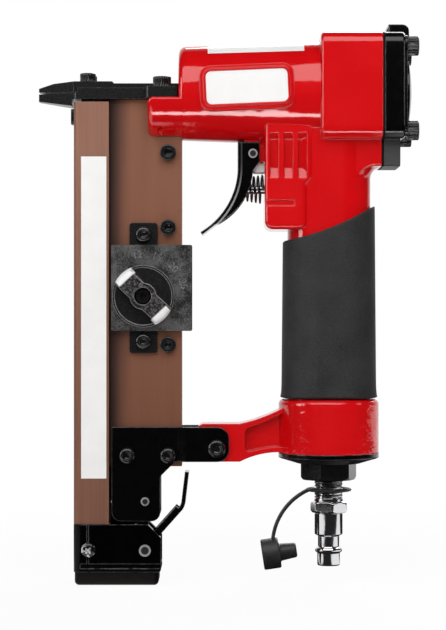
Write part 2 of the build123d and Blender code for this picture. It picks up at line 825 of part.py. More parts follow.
# Handle: grip, end cap, air inlet
grip_bottom = collar_top + grip_gap
with BuildPart() as grip_sleeve:
    with BuildSketch(Plane.XY.offset(grip_bottom)):
        handle_section(grip_wall + grip_flare)
    with BuildSketch(Plane.XY.offset(base_z + grip_back_top + grip_wall)):
        handle_section(grip_wall)
    loft(ruled=True)
    with BuildSketch(near()):
        with BuildLine():
            side_x = half_handle + grip_wall
            sweep_line = ThreePointArc(
                (-side_x - grip_wall, base_z + grip_front_top - grip_wall / 4),
                (0, base_z + grip_mid_top),
                (side_x + grip_wall, base_z + grip_back_top + grip_wall / 2),
            )
            Polyline(
                sweep_line @ 1,
                (side_x + grip_wall, base_z + handle_drop),
                (-side_x - grip_wall, base_z + handle_drop),
                sweep_line @ 0,
            )
        make_face()
    extrude(amount=handle_depth, both=True, mode=Mode.SUBTRACT)
    fillet(grip_sleeve.faces().filter_by(Plane.XY, reverse=True).sort_by(Axis.Z)[-1].edges(), grip_round)
    with BuildSketch(Plane.XY.offset(grip_bottom)):
        handle_section(seat_gap)
    extrude(amount=handle_drop, mode=Mode.SUBTRACT)

spigot_r = air_bore_r - seat_gap
seal_centre_r = spigot_r - seal_r
seal_z = base_z + end_cap_spigot / 2
with BuildPart() as handle_end_cap:
    with BuildSketch(near()):
        with BuildLine():
            Polyline(
                (bush_neck_r + seat_gap, end_cap_z),
                (end_cap_cone_r, end_cap_z),
                (end_cap_r - seal_r, end_cap_z + end_cap_cone),
                (end_cap_r, end_cap_z + end_cap_cone + seal_r / 2),
                (end_cap_r, base_z),
                (spigot_r, base_z),
                (spigot_r, base_z + end_cap_spigot),
                (bush_neck_r + seat_gap, base_z + end_cap_spigot),
                close=True,
            )
        make_face()
        with Locations((seal_centre_r - seal_r - seat_gap, seal_z)):
            outward = (Align.MIN, Align.CENTER)
            Rectangle(3 * seal_r, 2 * seal_r + 2 * fit_gap, align=outward, mode=Mode.SUBTRACT)
    revolve(axis=Axis.Z)

with BuildPart() as end_cap_seal:
    with BuildSketch(near()):
        with Locations((seal_centre_r, seal_z)):
            Circle(seal_r)
    revolve(axis=Axis.Z)

with BuildPart() as inlet_bush:
    with BuildSketch(Plane.XY.offset(bush_z)):
        RegularPolygon(radius=bush_flats / 2, side_count=6, major_radius=False, rotation=bush_turn)
    extrude(amount=bush_hex_length)
    with BuildSketch(near()):
        with BuildLine():
            rim_r = bush_flats / 2 + bush_chamfer / 2
            Polyline(
                (rim_r, bush_z),
                (bush_flats, bush_z),
                (bush_flats, bush_z + bush_flats / 2),
                close=True,
            )
        make_face()
    revolve(axis=Axis.Z, mode=Mode.SUBTRACT)
    with BuildSketch(Plane.XY.offset(end_cap_z)):
        Circle(bush_neck_r)
    extrude(amount=bush_neck_length)
    with BuildSketch(Plane.XY.offset(bush_z)):
        Circle(plug_shank_r + seat_gap)
    extrude(amount=plug_thread_length + seat_gap, mode=Mode.SUBTRACT)
    with BuildSketch(Plane.XY.offset(bush_z)):
        Circle(bush_bore_r)
    extrude(amount=bush_hex_length + bush_neck_length, mode=Mode.SUBTRACT)

with BuildPart() as air_plug:
    height = 0
    sections = (
        (plug_tip_r, plug_tip_length),
        (plug_collar_r, plug_collar_length),
        (plug_neck_r, plug_neck_length),
        (plug_barrel_r, plug_barrel_length),
    )
    for radius, length in sections:
        with BuildSketch(Plane.XY.offset(height)):
            Circle(radius)
        extrude(amount=length)
        height += length
    collar_end = plug_tip_length + plug_collar_length
    by_collar = air_plug.edges().filter_by_position(Axis.Z, plug_tip_length - seat_gap, collar_end + seat_gap)
    chamfer(by_collar.filter_by(GeomType.CIRCLE).group_by(SortBy.RADIUS)[-1], plug_chamfer)
    with BuildSketch(Plane.XY.offset(height)):
        RegularPolygon(radius=plug_hex_flats / 2, side_count=6, major_radius=False, rotation=plug_hex_turn)
    extrude(amount=plug_hex_length)
    with BuildSketch(Plane.XY.offset(plug_shank_z)):
        Circle(plug_shank_r)
    extrude(amount=plug_shank_length + plug_thread_length)
    with BuildSketch():
        Circle(plug_bore_r)
    extrude(amount=bush_z + plug_thread_length, mode=Mode.SUBTRACT)

strap_z = plug_shank_z + strap_ring_lift
stopper_z = strap_z - strap_drop - stopper_head_r + strap_thickness / 2
stopper_x = -strap_reach - stopper_offset
with BuildPart() as dust_cap:
    with BuildSketch(Plane.XY.offset(strap_z - strap_thickness / 2)):
        Circle(strap_ring_r)
        Circle(plug_shank_r + fit_gap, mode=Mode.SUBTRACT)
    extrude(amount=strap_thickness)
    fillet(dust_cap.edges().filter_by(GeomType.CIRCLE).sort_by(SortBy.RADIUS)[-2:], strap_thickness / 4)
    with BuildSketch(near()):
        with BuildLine():
            bow = ThreePointArc(
                (-strap_ring_r + strap_thickness, strap_z),
                (-strap_bow[0] * strap_reach, strap_z - strap_bow[1] * strap_drop),
                (-strap_reach, strap_z - strap_drop),
            )
            Line(bow @ 1, (-strap_reach, strap_z - strap_drop - strap_thickness))
        trace(line_width=strap_thickness)
    extrude(amount=strap_width / 2, both=True)
    stopper_axis = Axis((stopper_x, 0, stopper_z), Vector(1, 0, 0).rotate(Axis.Y, -stopper_tilt))
    stopper_plane = Plane(stopper_axis.position, x_dir=stopper_axis.direction, z_dir=(0, -1, 0))
    with BuildSketch(stopper_plane) as stopper:
        with BuildLine():
            half_head = stopper_head_length / 2
            Polyline(
                (-half_head, 0),
                (-half_head, stopper_head_r),
                (half_head, stopper_head_r),
                (half_head, stopper_stem_r),
                (half_head + stopper_stem_length, stopper_stem_tip_r),
                (half_head + stopper_stem_length, 0),
                close=True,
            )
        make_face()
        fillet(stopper.vertices().group_by(Axis.Y)[-1], strap_thickness / 2)
    revolve(axis=stopper_axis)

# Drive line
with BuildPart() as cylinder_sleeve:
    extrude(disc_x(bore_front + seat_gap, sleeve_r), amount=sleeve_back - bore_front - seat_gap)
    cut(disc_x(bore_front + seat_gap, sleeve_bore_r), sleeve_back - bore_front)

with BuildPart() as bumper:
    extrude(disc_x(bore_front + seat_gap, sleeve_bore_r - seat_gap), amount=bumper_length - seat_gap)
    fillet(bumper.edges().group_by(Axis.X)[-1], bumper_length / 4)
    cut(disc_x(bore_front, bumper_hole_r), bumper_length)

ring_centre_r = piston_r - seal_r
ring_x = (piston_front + piston_back) / 2
with BuildPart() as piston:
    extrude(disc_x(piston_front, piston_r), amount=piston_length)
    chamfer(piston.edges(), seal_r / 2)
    with BuildSketch(near()):
        with Locations((ring_x, drive_z + ring_centre_r - seal_r - seat_gap)):
            Rectangle(2 * seal_r + 2 * fit_gap, 3 * seal_r, align=(Align.CENTER, Align.MIN))
    revolve(axis=drive_axis, mode=Mode.SUBTRACT)
    with BuildSketch(Plane.YZ.offset(piston_front)):
        with Locations((0, drive_z)):
            Rectangle(driver_size + 2 * seat_gap, driver_size + 2 * seat_gap)
    extrude(amount=driver_bite, mode=Mode.SUBTRACT)

with BuildPart() as piston_ring:
    with BuildSketch(near()):
        with Locations((ring_x, drive_z + ring_centre_r)):
            Circle(seal_r)
    revolve(axis=drive_axis)

with BuildPart() as driver_blade:
    with BuildSketch(Plane.YZ.offset(driver_tip)):
        with Locations((0, drive_z)):
            Rectangle(driver_size, driver_size)
    extrude(amount=piston_front + driver_bite - seat_gap - driver_tip)

valve_front = sleeve_back + seat_gap
valve_seat = valve_front + head_valve_length - head_valve_recess
with BuildPart() as head_valve:
    extrude(disc_x(valve_front, head_bore_r - piston_play), amount=head_valve_length)
    chamfer(head_valve.edges(), seal_r / 2)
    spring_room = valve_spring_r + valve_spring_wire + fit_gap
    cut(disc_x(valve_seat, spring_room), head_valve_recess)

spring_start = valve_seat + valve_spring_wire + seat_gap
spring_end = cap_front + cap_recess_depth - valve_spring_wire - seat_gap
head_valve_spring = coil(
    Vector(spring_start, 0, drive_z),
    Vector(1, 0, 0),
    spring_end - spring_start,
    valve_spring_turns,
    valve_spring_r,
    valve_spring_r,
    valve_spring_wire,
)

# Rear cap
with BuildPart() as head_gasket:
    extrude(rear_outline(head_back), amount=gasket_thickness)
    cut(disc_x(head_back, head_bore_r), gasket_thickness)
    cut(bolt_holes(head_back), gasket_thickness)

with BuildPart() as cylinder_cap:
    extrude(rear_outline(cap_front), amount=cap_lobe_thickness)
    with BuildSketch(Plane.YZ.offset(cap_front)):
        with Locations((0, drive_z + head_rise)):
            RectangleRounded(head_width, head_height, head_corner_r)
    extrude(amount=cap_thickness)
    fillet(cylinder_cap.faces().sort_by(Axis.X)[-1].edges(), cap_edge_r)
    cut(disc_x(cap_front, cap_recess_r), cap_recess_depth)
    cut(bolt_holes(cap_front), cap_thickness)

hood_bottom = head_top + hood_lift
hood_top = hood_bottom + hood_height
hood_rear = cover_back + hood_back
with BuildPart() as exhaust_cover:
    with BuildSketch(Plane.YZ.offset(cap_back)):
        with Locations((0, drive_z + head_rise)):
            sheet_width = head_width - 2 * cap_edge_r
            RectangleRounded(sheet_width, head_height - 2 * cap_edge_r, head_corner_r - cap_edge_r)
    extrude(amount=cover_sheet)
    with BuildSketch(near()):
        with BuildLine():
            dome_edge = (cover_back + dome_shoulder, drive_z + dome_r)
            crown = TangentArc((cover_back + dome_height, drive_z), dome_edge, tangent=(0, 1))
            Polyline(crown @ 1, (cap_back, drive_z + dome_r), (cap_back, drive_z), crown @ 0)
        make_face()
    revolve(axis=drive_axis)
    with BuildSketch(near()) as hood:
        with BuildLine():
            Polyline(
                (cap_back, drive_z + dome_r / 2),
                (hood_rear, drive_z + dome_r / 2),
                (hood_rear, hood_top),
                (cap_back - hood_reach, hood_top),
                (cap_back - hood_reach, hood_bottom),
                (cap_back, hood_bottom),
                close=True,
            )
        make_face()
        fillet(hood.vertices().group_by(Axis.Y)[-1].sort_by(Axis.X)[-1], hood_round)
    extrude(amount=hood_width / 2, both=True)
    fillet(exhaust_cover.edges().filter_by(Axis.Z).group_by(Axis.X)[0], cover_sheet)
    with BuildSketch(near()):
        with BuildLine():
            Polyline(
                (cap_back - cover_sheet / 2, drive_z),
                (hood_rear - cover_sheet, drive_z),
                (hood_rear - cover_sheet, hood_top - cover_sheet),
                (cap_back - hood_reach - cover_sheet, hood_top - cover_sheet),
                (cap_back - hood_reach - cover_sheet, hood_bottom - cover_sheet / 2),
                (cap_back - cover_sheet / 2, hood_bottom - cover_sheet / 2),
                close=True,
            )
        make_face()
    extrude(amount=hood_width / 2 - cover_sheet, both=True, mode=Mode.SUBTRACT)
    cut(bolt_holes(cap_back), cover_sheet)

with BuildPart() as cap_bolts:
    bolt_length = cover_sheet + cap_thickness + gasket_thickness + bolt_grip
    with Locations(*[Plane((cover_back, y, z), z_dir=(1, 0, 0)) for y, z in bolt_places]):
        add(socket_screw(bolt_r, bolt_length, bolt_head_r, bolt_head_height))

# Nose: a base and a cover, split at the drive axis, with the driver's channel between them
nose_back = barrel_front - seat_gap
heel_x = min(jaw_root, cover_front) - jaw_gap
split_x = muzzle + jaw_split
nose_top = drive_z + nose_cover_height


def nose_plan(body_width, corner_r):
    """The nose from above: a straight body that narrows into the jaw."""
    with BuildSketch(Plane.XY.offset(seat_z - nose_heel)) as plan:
        with BuildLine():
            Polyline(
                (nose_back, -body_width / 2),
                (jaw_root, -body_width / 2),
                (jaw_root, -jaw_root_width / 2),
                (muzzle, -jaw_tip_width / 2),
                (muzzle, jaw_tip_width / 2),
                (jaw_root, jaw_root_width / 2),
                (jaw_root, body_width / 2),
                (nose_back, body_width / 2),
                close=True,
            )
        make_face()
        if body_width > jaw_root_width + 2 * corner_r:
            outer = plan.vertices().filter_by_position(Axis.X, jaw_root - seat_gap, jaw_root + seat_gap)
            fillet(outer.sort_by(Axis.Y)[:: len(outer) - 1], corner_r)
    return plan.sketch


def nose_screw_holes(z):
    """The nose cover's screw holes from above."""
    with BuildSketch(Plane.XY.offset(z)) as holes:
        with Locations(*nose_places):
            Circle(screw_r + screw_gap)
    return holes.sketch


def driver_channel():
    """The driver's square way through the nose, from the muzzle back."""
    with BuildSketch(Plane.YZ.offset(muzzle)) as channel:
        with Locations((0, drive_z)):
            Rectangle(nose_channel, nose_channel)
    return channel.sketch


with BuildPart() as nose_base:
    with BuildSketch(near()):
        with BuildLine():
            Polyline(
                (nose_back, seat_z),
                (heel_x, seat_z),
                (heel_x, seat_z - nose_heel),
                (muzzle, drive_z - jaw_gape - jaw_lower_height),
                (muzzle, drive_z - jaw_gape),
                (split_x, drive_z),
                (nose_back, drive_z),
                close=True,
            )
        make_face()
    extrude(amount=nose_base_width, both=True)
    base_plan = nose_plan(nose_base_width, nose_base_corner_r)
    extrude(base_plan, amount=nose_heel + seat_drop, mode=Mode.INTERSECT)
    with BuildSketch(Plane.XY.offset(seat_z)):
        with Locations((nose_back, 0)):
            RectangleRounded(
                nose_flange_length, nose_flange_width, nose_base_corner_r, align=(Align.MAX, Align.CENTER)
            )
    extrude(amount=seat_drop + nose_rail_height)
    with BuildSketch(Plane.XY.offset(drive_z)):
        with Locations((nose_back, 0)):
            rail_length = nose_back - jaw_root - nose_base_corner_r
            Rectangle(rail_length, nose_base_width, align=(Align.MAX, Align.CENTER))
    extrude(amount=nose_rail_height)
    with BuildSketch(Plane.XY.offset(drive_z)):
        with Locations((nose_back, 0)):
            Rectangle(2 * nose_length, nose_cover_width + 2 * seat_gap, align=(Align.CENTER, Align.CENTER))
    extrude(amount=nose_cover_height, mode=Mode.SUBTRACT)
    cut(driver_channel(), nose_length)
    with BuildSketch(Plane.XY.offset(seat_z - nose_heel)):
        with Locations((core_front, 0)):
            Rectangle(pin_max_length, pin_slot, align=(Align.MIN, Align.CENTER))
    extrude(amount=2 * nose_heel, mode=Mode.SUBTRACT)
    cut(nose_screw_holes(seat_z), seat_drop)
    with BuildSketch(Plane.XY.offset(seat_z)):
        with Locations(*flange_places):
            Circle(flange_screw_r + screw_gap)
    extrude(amount=2 * seat_drop, mode=Mode.SUBTRACT)

with BuildPart() as nose_cover:
    with BuildSketch(near()):
        with BuildLine():
            Polyline(
                (nose_back, drive_z),
                (nose_back, nose_top - nose_cover_step),
                (jaw_root + nose_cover_thick + nose_cover_step, nose_top - nose_cover_step),
                (jaw_root + nose_cover_thick, nose_top),
                (jaw_root, nose_top),
                (muzzle + jaw_lip, nose_top - nose_cover_step),
                (muzzle, drive_z + jaw_gape + jaw_tip_height),
                (muzzle, drive_z + jaw_gape),
                (split_x, drive_z),
                close=True,
            )
        make_face()
    extrude(amount=nose_base_width, both=True)
    cover_plan = nose_plan(nose_cover_width, nose_base_corner_r)
    extrude(cover_plan, amount=nose_heel + seat_drop + nose_cover_height, mode=Mode.INTERSECT)
    cut(driver_channel(), nose_length)
    cut(nose_screw_holes(drive_z), nose_cover_height)

with BuildPart() as nose_screws:
    nose_screw_length = nose_top - seat_z - fit_gap
    with Locations(*[(x, y, nose_top) for x, y in nose_places]):
        add(socket_screw(screw_r, nose_screw_length, screw_head_r, screw_head_height))

with BuildPart() as flange_screws:
    flange_screw_length = nose_rail_height + seat_drop + flange_screw_bite
    flange_screw = socket_screw(
        flange_screw_r, flange_screw_length, flange_screw_head_r, flange_screw_head_height
    )
    with Locations(*[(x, y, drive_z + nose_rail_height) for x, y in flange_places]):
        add(flange_screw)


# Magazine: two plates that meet along their rear land and leave the pin slot between them
def magazine_plate(side):
    """One magazine plate, for side -1 near the viewer or 1 away from the viewer."""
    slot = side * pin_slot / 2
    groove = side * (pin_slot / 2 + groove_depth)
    groove_front = core_front + groove_setback
    groove_back = groove_front + groove_width
    lip_inner = side * (core_half - lip_depth - fit_gap)
    lip_front = cover_edge - lip_width - fit_gap
    lip_back = cover_edge + fit_gap
    outside = side * core_half
    with BuildPart() as plate:
        with BuildSketch(Plane.XY.offset(core_bottom)):
            with BuildLine():
                Polyline(
                    (core_front, slot),
                    (groove_front, slot),
                    (groove_front, groove),
                    (groove_back, groove),
                    (groove_back, slot),
                    (land_front, slot),
                    (land_front, 0),
                    (core_back, 0),
                    (core_back, outside),
                    (lip_back, outside),
                    (lip_back, lip_inner),
                    (lip_front, lip_inner),
                    (lip_front, outside),
                    (core_front, outside),
                    close=True,
                )
            make_face()
        extrude(amount=core_top - core_bottom)
        cut(discs_y(0, plate_places, screw_r + screw_gap), core_half, both=True)
        cut(discs_y(0, [(lug_pin_x, lug_pin_z)], lug_pin_r + seat_gap), core_half, both=True)
        cut(discs_y(outside, bracket_places, screw_r + screw_gap), side * (screw_bite + fit_gap))
    return plate.part


crank_disc_r = crank_throw + crank_pin_r + crank_disc_margin
crank_inner = pin_slot / 2 + crank_side_gap
crank_outer = crank_inner + crank_disc_thickness
with BuildPart() as near_plate:
    add(magazine_plate(-1))
    with BuildSketch(near()):
        with Locations((dial_x, dial_z)):
            Circle(crank_disc_r + fit_gap)
    extrude(amount=crank_outer + crank_side_gap, mode=Mode.SUBTRACT)
    cut(discs_y(0, [(dial_x, dial_z)], crank_shaft_r + shaft_gap), core_half)
    cut(discs_y(-core_half, strip_places, screw_r + screw_gap), -screw_bite - fit_gap)

with BuildPart() as far_plate:
    add(magazine_plate(1))

with BuildPart() as plate_screws:
    with Locations(*[Plane((x, -core_half, z), z_dir=(0, -1, 0)) for x, z in plate_places]):
        add(socket_screw(screw_r, core_half + screw_bite, screw_head_r, screw_head_height))

with BuildPart() as lug_pin:
    pin_half = math.sqrt(barrel_front_r**2 - lug_pin_drop**2) - lug_pin_sink
    extrude(discs_y(0, [(lug_pin_x, lug_pin_z)], lug_pin_r), amount=pin_half, both=True)

# Sliding cover, its tab, end block and foot
with BuildPart() as magazine_cover:
    with BuildSketch(Plane.XY.offset(cover_bottom)) as channel:
        with Locations((cover_front, 0)):
            Rectangle(cover_depth, 2 * cover_half, align=(Align.MIN, Align.CENTER))
        fillet(channel.vertices().group_by(Axis.X)[0], cover_corner_r)
        with Locations((cover_inner, 0)):
            backward = (Align.MIN, Align.CENTER)
            Rectangle(cover_depth, 2 * (core_half + fit_gap), align=backward, mode=Mode.SUBTRACT)
        for sign in (-1, 1):
            with Locations((cover_edge, sign * (core_half + fit_gap - lip_depth / 2))):
                Rectangle(lip_width, lip_depth, align=(Align.MAX, Align.CENTER))
    extrude(amount=cover_top - cover_bottom)

with BuildPart() as cover_tab:
    with BuildSketch(Plane.YZ.offset(cover_front)):
        with Locations((0, cover_top - tab_drop)):
            RectangleRounded(tab_width, tab_height, tab_thickness, align=(Align.CENTER, Align.MAX))
    extrude(amount=-tab_thickness)

rod_x = core_front + groove_setback + groove_width / 2
tongue_top = cover_bottom + end_block_tongue
rod_bottom = tongue_top - rod_bite
with BuildPart() as end_block:
    with BuildSketch(near()) as side:
        with BuildLine():
            Polyline(
                (cover_front, end_bottom),
                (cover_front, cover_bottom),
                (end_back - end_block_bevel, cover_bottom),
                (end_back, cover_bottom - end_block_bevel),
                (end_back, end_bottom),
                close=True,
            )
        make_face()
    extrude(amount=end_half, both=True)
    fillet(end_block.edges().filter_by(Axis.Z).group_by(Axis.X)[0], cover_corner_r)
    fillet(end_block.edges().filter_by(Axis.Y).group_by(Axis.X)[-1], end_block_round)
    with BuildSketch(Plane.XY.offset(end_bottom + end_block_floor)):
        with Locations((cover_front + end_block_front, 0)):
            Rectangle(end_block_length, 2 * latch_half + 2 * fit_gap, align=(Align.MIN, Align.CENTER))
    extrude(amount=end_block_height, mode=Mode.SUBTRACT)
    with BuildSketch(Plane.XY.offset(end_bottom + end_block_floor)):
        with Locations((cover_front + end_block_front, 0)):
            web_length = latch_x - latch_hub_r - 2 * fit_gap - cover_front - end_block_front
            Rectangle(web_length, end_web_thickness, align=(Align.MIN, Align.CENTER))
    extrude(amount=end_block_height - end_block_floor + end_web_height)
    with BuildSketch(near(end_half)):
        with Locations((cover_front + cover_corner_r, end_bottom + end_band_lift)):
            Rectangle(end_block_length, end_band, align=(Align.MIN, Align.MIN))
        with Locations((cover_front + end_seam_inset, end_bottom + end_band_lift)):
            Rectangle(end_seam, end_block_height, align=(Align.CENTER, Align.MIN))
    seam_cut = extrude(amount=-end_groove, mode=Mode.SUBTRACT)
    mirror(seam_cut, about=Plane.XZ, mode=Mode.SUBTRACT)
    with BuildSketch(Plane.XY.offset(cover_bottom)):
        with Locations((cover_inner + seat_gap, 0)):
            tongue_half = core_half + fit_gap - seat_gap
            Rectangle(groove_setback + groove_width, 2 * tongue_half, align=(Align.MIN, Align.CENTER))
    extrude(amount=end_block_tongue)
    with BuildSketch(Plane.XY.offset(tongue_top)):
        with Locations((rod_x, 0)):
            Circle(rod_r + seat_gap)
    extrude(amount=-rod_bite, mode=Mode.SUBTRACT)
    cut(discs_y(0, [(latch_x, latch_z)], latch_pin_r + shaft_gap), end_half, both=True)

with BuildPart() as foot_pad:
    with BuildSketch(near()) as side:
        with Locations((cover_front + foot_inset / 2, end_bottom)):
            Rectangle(end_block_length - 1.5 * foot_inset, foot_height, align=(Align.MIN, Align.MAX))
        fillet(side.vertices().group_by(Axis.Y)[0], foot_round)
    extrude(amount=end_half - foot_inset / 4, both=True)
    fillet(foot_pad.edges().filter_by(Axis.Z), foot_round)

# Latch lever on its pin
with BuildPart() as latch_pin:
    extrude(discs_y(0, [(latch_x, latch_z)], latch_pin_r), amount=end_half + latch_pin_head, both=True)
    extrude(discs_y(-end_half, [(latch_x, latch_z)], latch_pin_head_r), amount=latch_pin_head)
    extrude(discs_y(end_half, [(latch_x, latch_z)], latch_pin_head_r), amount=-latch_pin_head)


hook_x = catch_pin_r + fit_gap
hook_top = catch_rise + catch_pin_r + hook_nose
hook_bottom = catch_rise - catch_pin_r - hook_nose
neck_rise = arm_bottom - bracket_leg - latch_z
sheet_root = Vector(*latch_root)
sheet_run = Vector(*latch_knee) - sheet_root
sheet_along = sheet_run.normalized()
sheet_inward = sheet_along.rotate(Axis.Z, 90)
flange_foot = sheet_root + sheet_inward * latch_flange
flange_run = sheet_along * (sheet_run.length - latch_flange_end)
hub_side = (sheet_root + flange_foot).normalized().rotate(Axis.Z, 90) * latch_hub_r
lever_plane = Plane(origin=(latch_x, 0, latch_z), x_dir=(1, 0, 0), z_dir=(0, -1, 0))
with BuildPart() as latch_lever:
    # Finger sheet, bent up at its knee
    with BuildSketch(lever_plane):
        with BuildLine():
            FilletPolyline(latch_root, latch_knee, latch_tip, radius=latch_bend_r)
        trace(line_width=latch_sheet)
    extrude(amount=latch_half, both=True)
    # Cheeks on the pin, each with a flange along the sheet and a hook that stands beside the catch pin
    with BuildSketch(lever_plane.offset(latch_half - latch_sheet)):
        Circle(latch_hub_r)
        with BuildLine():
            Polyline(
                -hub_side,
                sheet_root,
                sheet_root + flange_run,
                flange_foot + flange_run,
                flange_foot,
                hub_side,
                close=True,
            )
        make_face()
        with BuildLine():
            Polyline(
                (-latch_hub_r, 0),
                (-neck_front, neck_rise),
                (hook_x + hook_notch, hook_bottom),
                (hook_x + hook_notch, catch_rise + catch_pin_r),
                (hook_x, catch_rise + catch_pin_r),
                (hook_x, hook_top - hook_notch),
                (hook_x + hook_notch, hook_top),
                (hook_x + hook_width, hook_top),
                (hook_x + hook_width, hook_bottom),
                (neck_back, neck_rise),
                hub_side * -1,
                close=True,
            )
        make_face()
        Circle(latch_pin_r + shaft_gap, mode=Mode.SUBTRACT)
    cheek = extrude(amount=latch_sheet)
    mirror(cheek, about=Plane.XZ)

latch_spring_length = latch_spring_turns * latch_spring_pitch
latch_spring = coil(
    Vector(latch_x, -latch_spring_length / 2, latch_z),
    Vector(0, 1, 0),
    latch_spring_length,
    latch_spring_turns,
    latch_pin_r + latch_spring_wire + fit_gap,
    latch_pin_r + latch_spring_wire + fit_gap,
    latch_spring_wire,
)

# Support brackets: a near and a far sheet with a joggle out to the arm
bracket_top = arm_top - bracket_drop
bracket_bottom = arm_bottom - bracket_leg
bracket_back = arm_bolt_x + bracket_end_r
leg_back = latch_x + bracket_leg_back
joggle_front = core_back - bracket_joggle / 2


def support_bracket(side):
    """One support bracket, for side -1 near the viewer or 1 away from the viewer."""
    with BuildPart() as bracket:
        with BuildSketch(Plane.XY.offset(bracket_bottom)):
            with BuildLine():
                Polyline(
                    (bracket_front, side * core_half),
                    (joggle_front, side * core_half),
                    (joggle_front + bracket_joggle, side * arm_half),
                    (bracket_back, side * arm_half),
                    (bracket_back, side * (arm_half + bracket_sheet)),
                    (joggle_front + bracket_joggle, side * (arm_half + bracket_sheet)),
                    (joggle_front, side * (core_half + bracket_sheet)),
                    (bracket_front, side * (core_half + bracket_sheet)),
                    close=True,
                )
            make_face()
        extrude(amount=bracket_top - bracket_bottom)
        with BuildSketch(near()) as outline:
            with BuildLine():
                Polyline(
                    (bracket_front, bracket_bottom),
                    (bracket_front, bracket_top),
                    (bracket_back, bracket_top),
                    (bracket_back, arm_bottom),
                    (leg_back + bracket_chamfer, arm_bottom),
                    (leg_back, arm_bottom - bracket_chamfer),
                    (leg_back, bracket_bottom),
                    close=True,
                )
            make_face()
            fillet(outline.vertices().group_by(Axis.X)[-1], bracket_end_r)
            fillet(outline.vertices().group_by(Axis.Y)[0], bracket_corner_r)
            with Locations(*bracket_places):
                Circle(screw_r + screw_gap, mode=Mode.SUBTRACT)
            with Locations((arm_bolt_x, arm_bolt_z)):
                Circle(arm_bolt_r + screw_gap, mode=Mode.SUBTRACT)
            with Locations((latch_x, catch_z)):
                Circle(catch_pin_r + seat_gap, mode=Mode.SUBTRACT)
        extrude(amount=arm_thickness, both=True, mode=Mode.INTERSECT)
    return bracket.part


near_bracket = support_bracket(-1)
far_bracket = support_bracket(1)

with BuildPart() as catch_pin:
    catch_pin_half = core_half + bracket_sheet + latch_pin_head
    extrude(discs_y(0, [(latch_x, catch_z)], catch_pin_r), amount=catch_pin_half, both=True)

with BuildPart() as bracket_screws:
    for side in (-1, 1):
        bracket_face = side * (core_half + bracket_sheet)
        with Locations(*[Plane((x, bracket_face, z), z_dir=(0, side, 0)) for x, z in bracket_places]):
            add(socket_screw(screw_r, bracket_sheet + screw_bite, screw_head_r, button_head_height))

with BuildPart() as arm_bolt:
    with Locations(Plane((arm_bolt_x, -arm_half - bracket_sheet, arm_bolt_z), z_dir=(0, -1, 0))):
        arm_bolt_length = arm_thickness + 2 * bracket_sheet + arm_nut_height
        add(socket_screw(arm_bolt_r, arm_bolt_length, arm_bolt_head_r, button_head_height))

with BuildPart() as arm_nut:
    with BuildSketch(near(-arm_half - bracket_sheet)):
        with Locations((arm_bolt_x, arm_bolt_z)):
            RegularPolygon(radius=arm_nut_flats / 2, side_count=6, major_radius=False)
            Circle(arm_bolt_r + seat_gap, mode=Mode.SUBTRACT)
    extrude(amount=-arm_nut_height)

# Pin length selector
with BuildPart() as selector_strip:
    with BuildSketch(near(core_half)):
        with Locations((dial_x, strip_z)):
            RectangleRounded(strip_width, strip_height, strip_corner_r)
        with Locations((dial_x, dial_z)):
            Circle(crank_shaft_r + shaft_gap, mode=Mode.SUBTRACT)
        with Locations(*strip_places):
            Circle(screw_r + screw_gap, mode=Mode.SUBTRACT)
    extrude(amount=strip_thickness)

dial_back = core_half + strip_thickness
dial_face = dial_back + dial_thickness
with BuildPart() as strip_screws:
    with Locations(*[Plane((x, -dial_back, z), z_dir=(0, -1, 0)) for x, z in strip_places]):
        add(socket_screw(screw_r, strip_thickness + screw_bite, screw_head_r, button_head_height))

with BuildPart() as dial_plate:
    with BuildSketch(near(dial_back)):
        with Locations((dial_x + dial_shift_x, strip_z)):
            RectangleRounded(dial_width, dial_height, dial_corner_r)
        with Locations((dial_x, dial_z)):
            Circle(crank_shaft_r + shaft_gap, mode=Mode.SUBTRACT)
    extrude(amount=dial_thickness)

knob_back = dial_face + fit_gap
knob_face = knob_back + knob_disc
knob_top = knob_face + knob_bar_height
knob_floor = knob_face - knob_rim_depth
knob_axis = Axis((dial_x, 0, dial_z), (0, 1, 0))
knob_section = Plane(origin=(dial_x, 0, dial_z), x_dir=(1, 0, 0), z_dir=(0, 0, -1))
with BuildPart() as knob_bar:
    with BuildSketch(Plane(origin=(dial_x, -knob_floor, dial_z), x_dir=(1, 0, 0), z_dir=(0, -1, 0))):
        with Locations(Rotation(0, 0, knob_rest_angle)):
            Rectangle(2 * knob_r, knob_bar_width)
        Circle(knob_boss_r)
    extrude(amount=knob_top - knob_floor)
    with BuildSketch(knob_section):
        with BuildLine():
            rise = Line((knob_r, knob_floor), (knob_r, knob_top - knob_bevel))
            crown = TangentArc(rise @ 1, (knob_r - knob_bevel, knob_top), tangent=(0, 1))
            Polyline(crown @ 1, (0, knob_top), (0, knob_floor), rise @ 0)
        make_face()
    revolve(axis=knob_axis, mode=Mode.INTERSECT)

with BuildPart() as length_knob:
    with BuildSketch(knob_section):
        with BuildLine():
            Polyline(
                (0, knob_back),
                (knob_r, knob_back),
                (knob_r, knob_face),
                (knob_r - knob_rim, knob_face),
                (knob_r - knob_rim, knob_floor),
                (0, knob_floor),
                close=True,
            )
        make_face()
    revolve(axis=knob_axis)
    add(knob_bar.part)
    knob_centre = [(dial_x, dial_z)]
    cut(discs_y(-knob_top, knob_centre, screw_head_r + fit_gap), -screw_head_height - knob_sink)
    cut(discs_y(-knob_back, knob_centre, screw_r + screw_gap), knob_top)

knob_seat = knob_top - screw_head_height - knob_sink
with BuildPart() as knob_screw:
    with Locations(Plane((dial_x, -knob_seat, dial_z), z_dir=(0, -1, 0))):
        knob_screw_length = knob_seat - knob_back + screw_bite
        add(socket_screw(screw_r, knob_screw_length, screw_head_r, screw_head_height - fit_gap))

